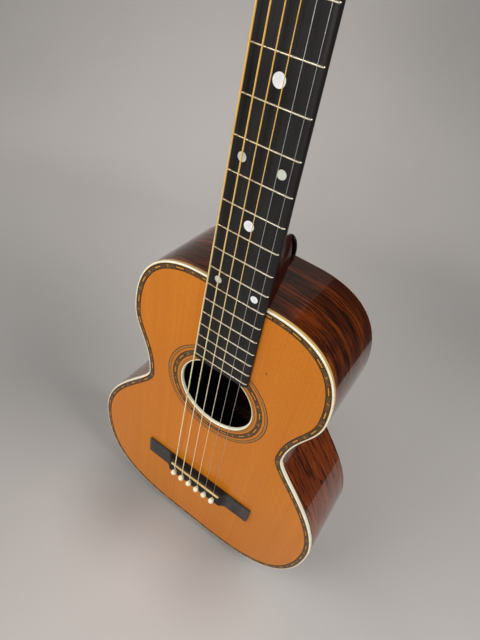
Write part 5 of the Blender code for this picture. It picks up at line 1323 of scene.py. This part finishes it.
# square lamps a metre wide: place and power
lamps = {"rightBox": ((1.5, 0.0, 1.6), 25.5), "frontLow": ((0.35, -1.9, 0.7), 11.5),
         "leftNear": ((-0.8, -0.9, 1.1), 13.5), "leftSide": ((-1.55, -0.15, 1.35), 6.5)}
lampAim = (0, 0.1, 0.3)
camera = {"lens": 25.65, "at": (0.13108, -0.31204, 0.70186), "right": (0.81536, 0.55538, 0.16349),
          "down": (0.48782, -0.50697, -0.71064), "forward": (-0.31179, 0.65919, -0.68429)}


def makeStage():
    # paper strip: flat floor, a quarter circle of radius r, then straight up; (u, v) is turned about Z
    s, r = studio, studio["curve"]
    a = np.linspace(0, math.pi / 2, 32)
    v = np.concatenate([np.linspace(s["near"], s["bend"] - 0.01, 12), s["bend"] + r * np.sin(a),
                        [s["bend"] + r]])
    z = np.concatenate([np.zeros(12), r * (1 - np.cos(a)), [s["top"]]])[:, None] - s["under"]
    u, v = np.linspace(s["leftEdge"], s["rightEdge"], 5)[None], v[:, None]
    sweep = gridPiece("studioSweep", together(u * math.cos(s["turn"]) - v * math.sin(s["turn"]),
                                              u * math.sin(s["turn"]) + v * math.cos(s["turn"]), z))
    material, tree = newMaterial("sweepPaper", Roughness=0.9, Specular_IOR_Level=0.1)
    where = place(tree)
    made = blend(tree, ranged(tree, noise(tree, where, 3.0), 0.3, 0.7, 0.0, 0.5), s["tint"],
                 [c - 4 for c in s["tint"]])
    # painted shade and light multiplied into the paper's colour
    for spot, reach, kept in paintedShadeAndLight:
        share = below(tree, vectorMaths(tree, "DISTANCE", where, spot), 0.0, reach)
        made = blend(tree, share, made, (kept, kept, kept, 1.0), "MULTIPLY")
    tree.links.new(made, tree.nodes["Principled BSDF"].inputs["Base Color"])
    sweep.data.materials.append(material)


def makeLight():
    world = bpy.data.worlds.new("studioAir")
    bpy.context.scene.world = world
    world.use_nodes = True
    air = world.node_tree.nodes["Background"].inputs
    air["Color"].default_value = (1.0, 0.98, 0.96, 1.0)
    air["Strength"].default_value = studio["world"]
    for name, (at, power) in lamps.items():
        lamp = bpy.data.lights.new(name, "AREA")
        lamp.shape = "RECTANGLE"
        lamp.size, lamp.size_y = 1.0, 1.0
        lamp.energy = power
        made = newObject(name, lamp)
        made.location = at
        made.rotation_euler = (Vector(lampAim) - Vector(at)).to_track_quat("-Z", "Y").to_euler()


def makeCamera():
    view = bpy.data.cameras.new("photoView")
    view.lens = camera["lens"]
    view.sensor_width = 36.0
    view.clip_start = 0.01
    made = newObject("photoView", view)
    turn = Matrix((camera["right"], [-c for c in camera["down"]], [-c for c in camera["forward"]]))
    made.matrix_world = Matrix.Translation(camera["at"]) @ turn.transposed().to_4x4()
    bpy.context.scene.camera = made


makeSoundboard()
makeInlays()
makeEdges()
print("soundboard and inlays done")
makeSide("trebleSide", 1, "side_treble")
makeSide("bassSide", -1, "side_bass")
makeBack()
print("sides and back done")
makeNeck()
makeHeadplate()
makeHeelCap()
makeFingerboard()
makeFrets()
makeDots()
makeNut()
print("neck and fingerboard done")
makeBridge()
makeSaddle()
makePins()
makeStrings()
print("bridge and strings done")
makePlates()
makeMachines()
makeEndPin()
finishInside()
makeStage()
makeLight()
makeCamera()
bpy.context.scene.view_settings.view_transform = "Standard"
print("stage, light and camera done")
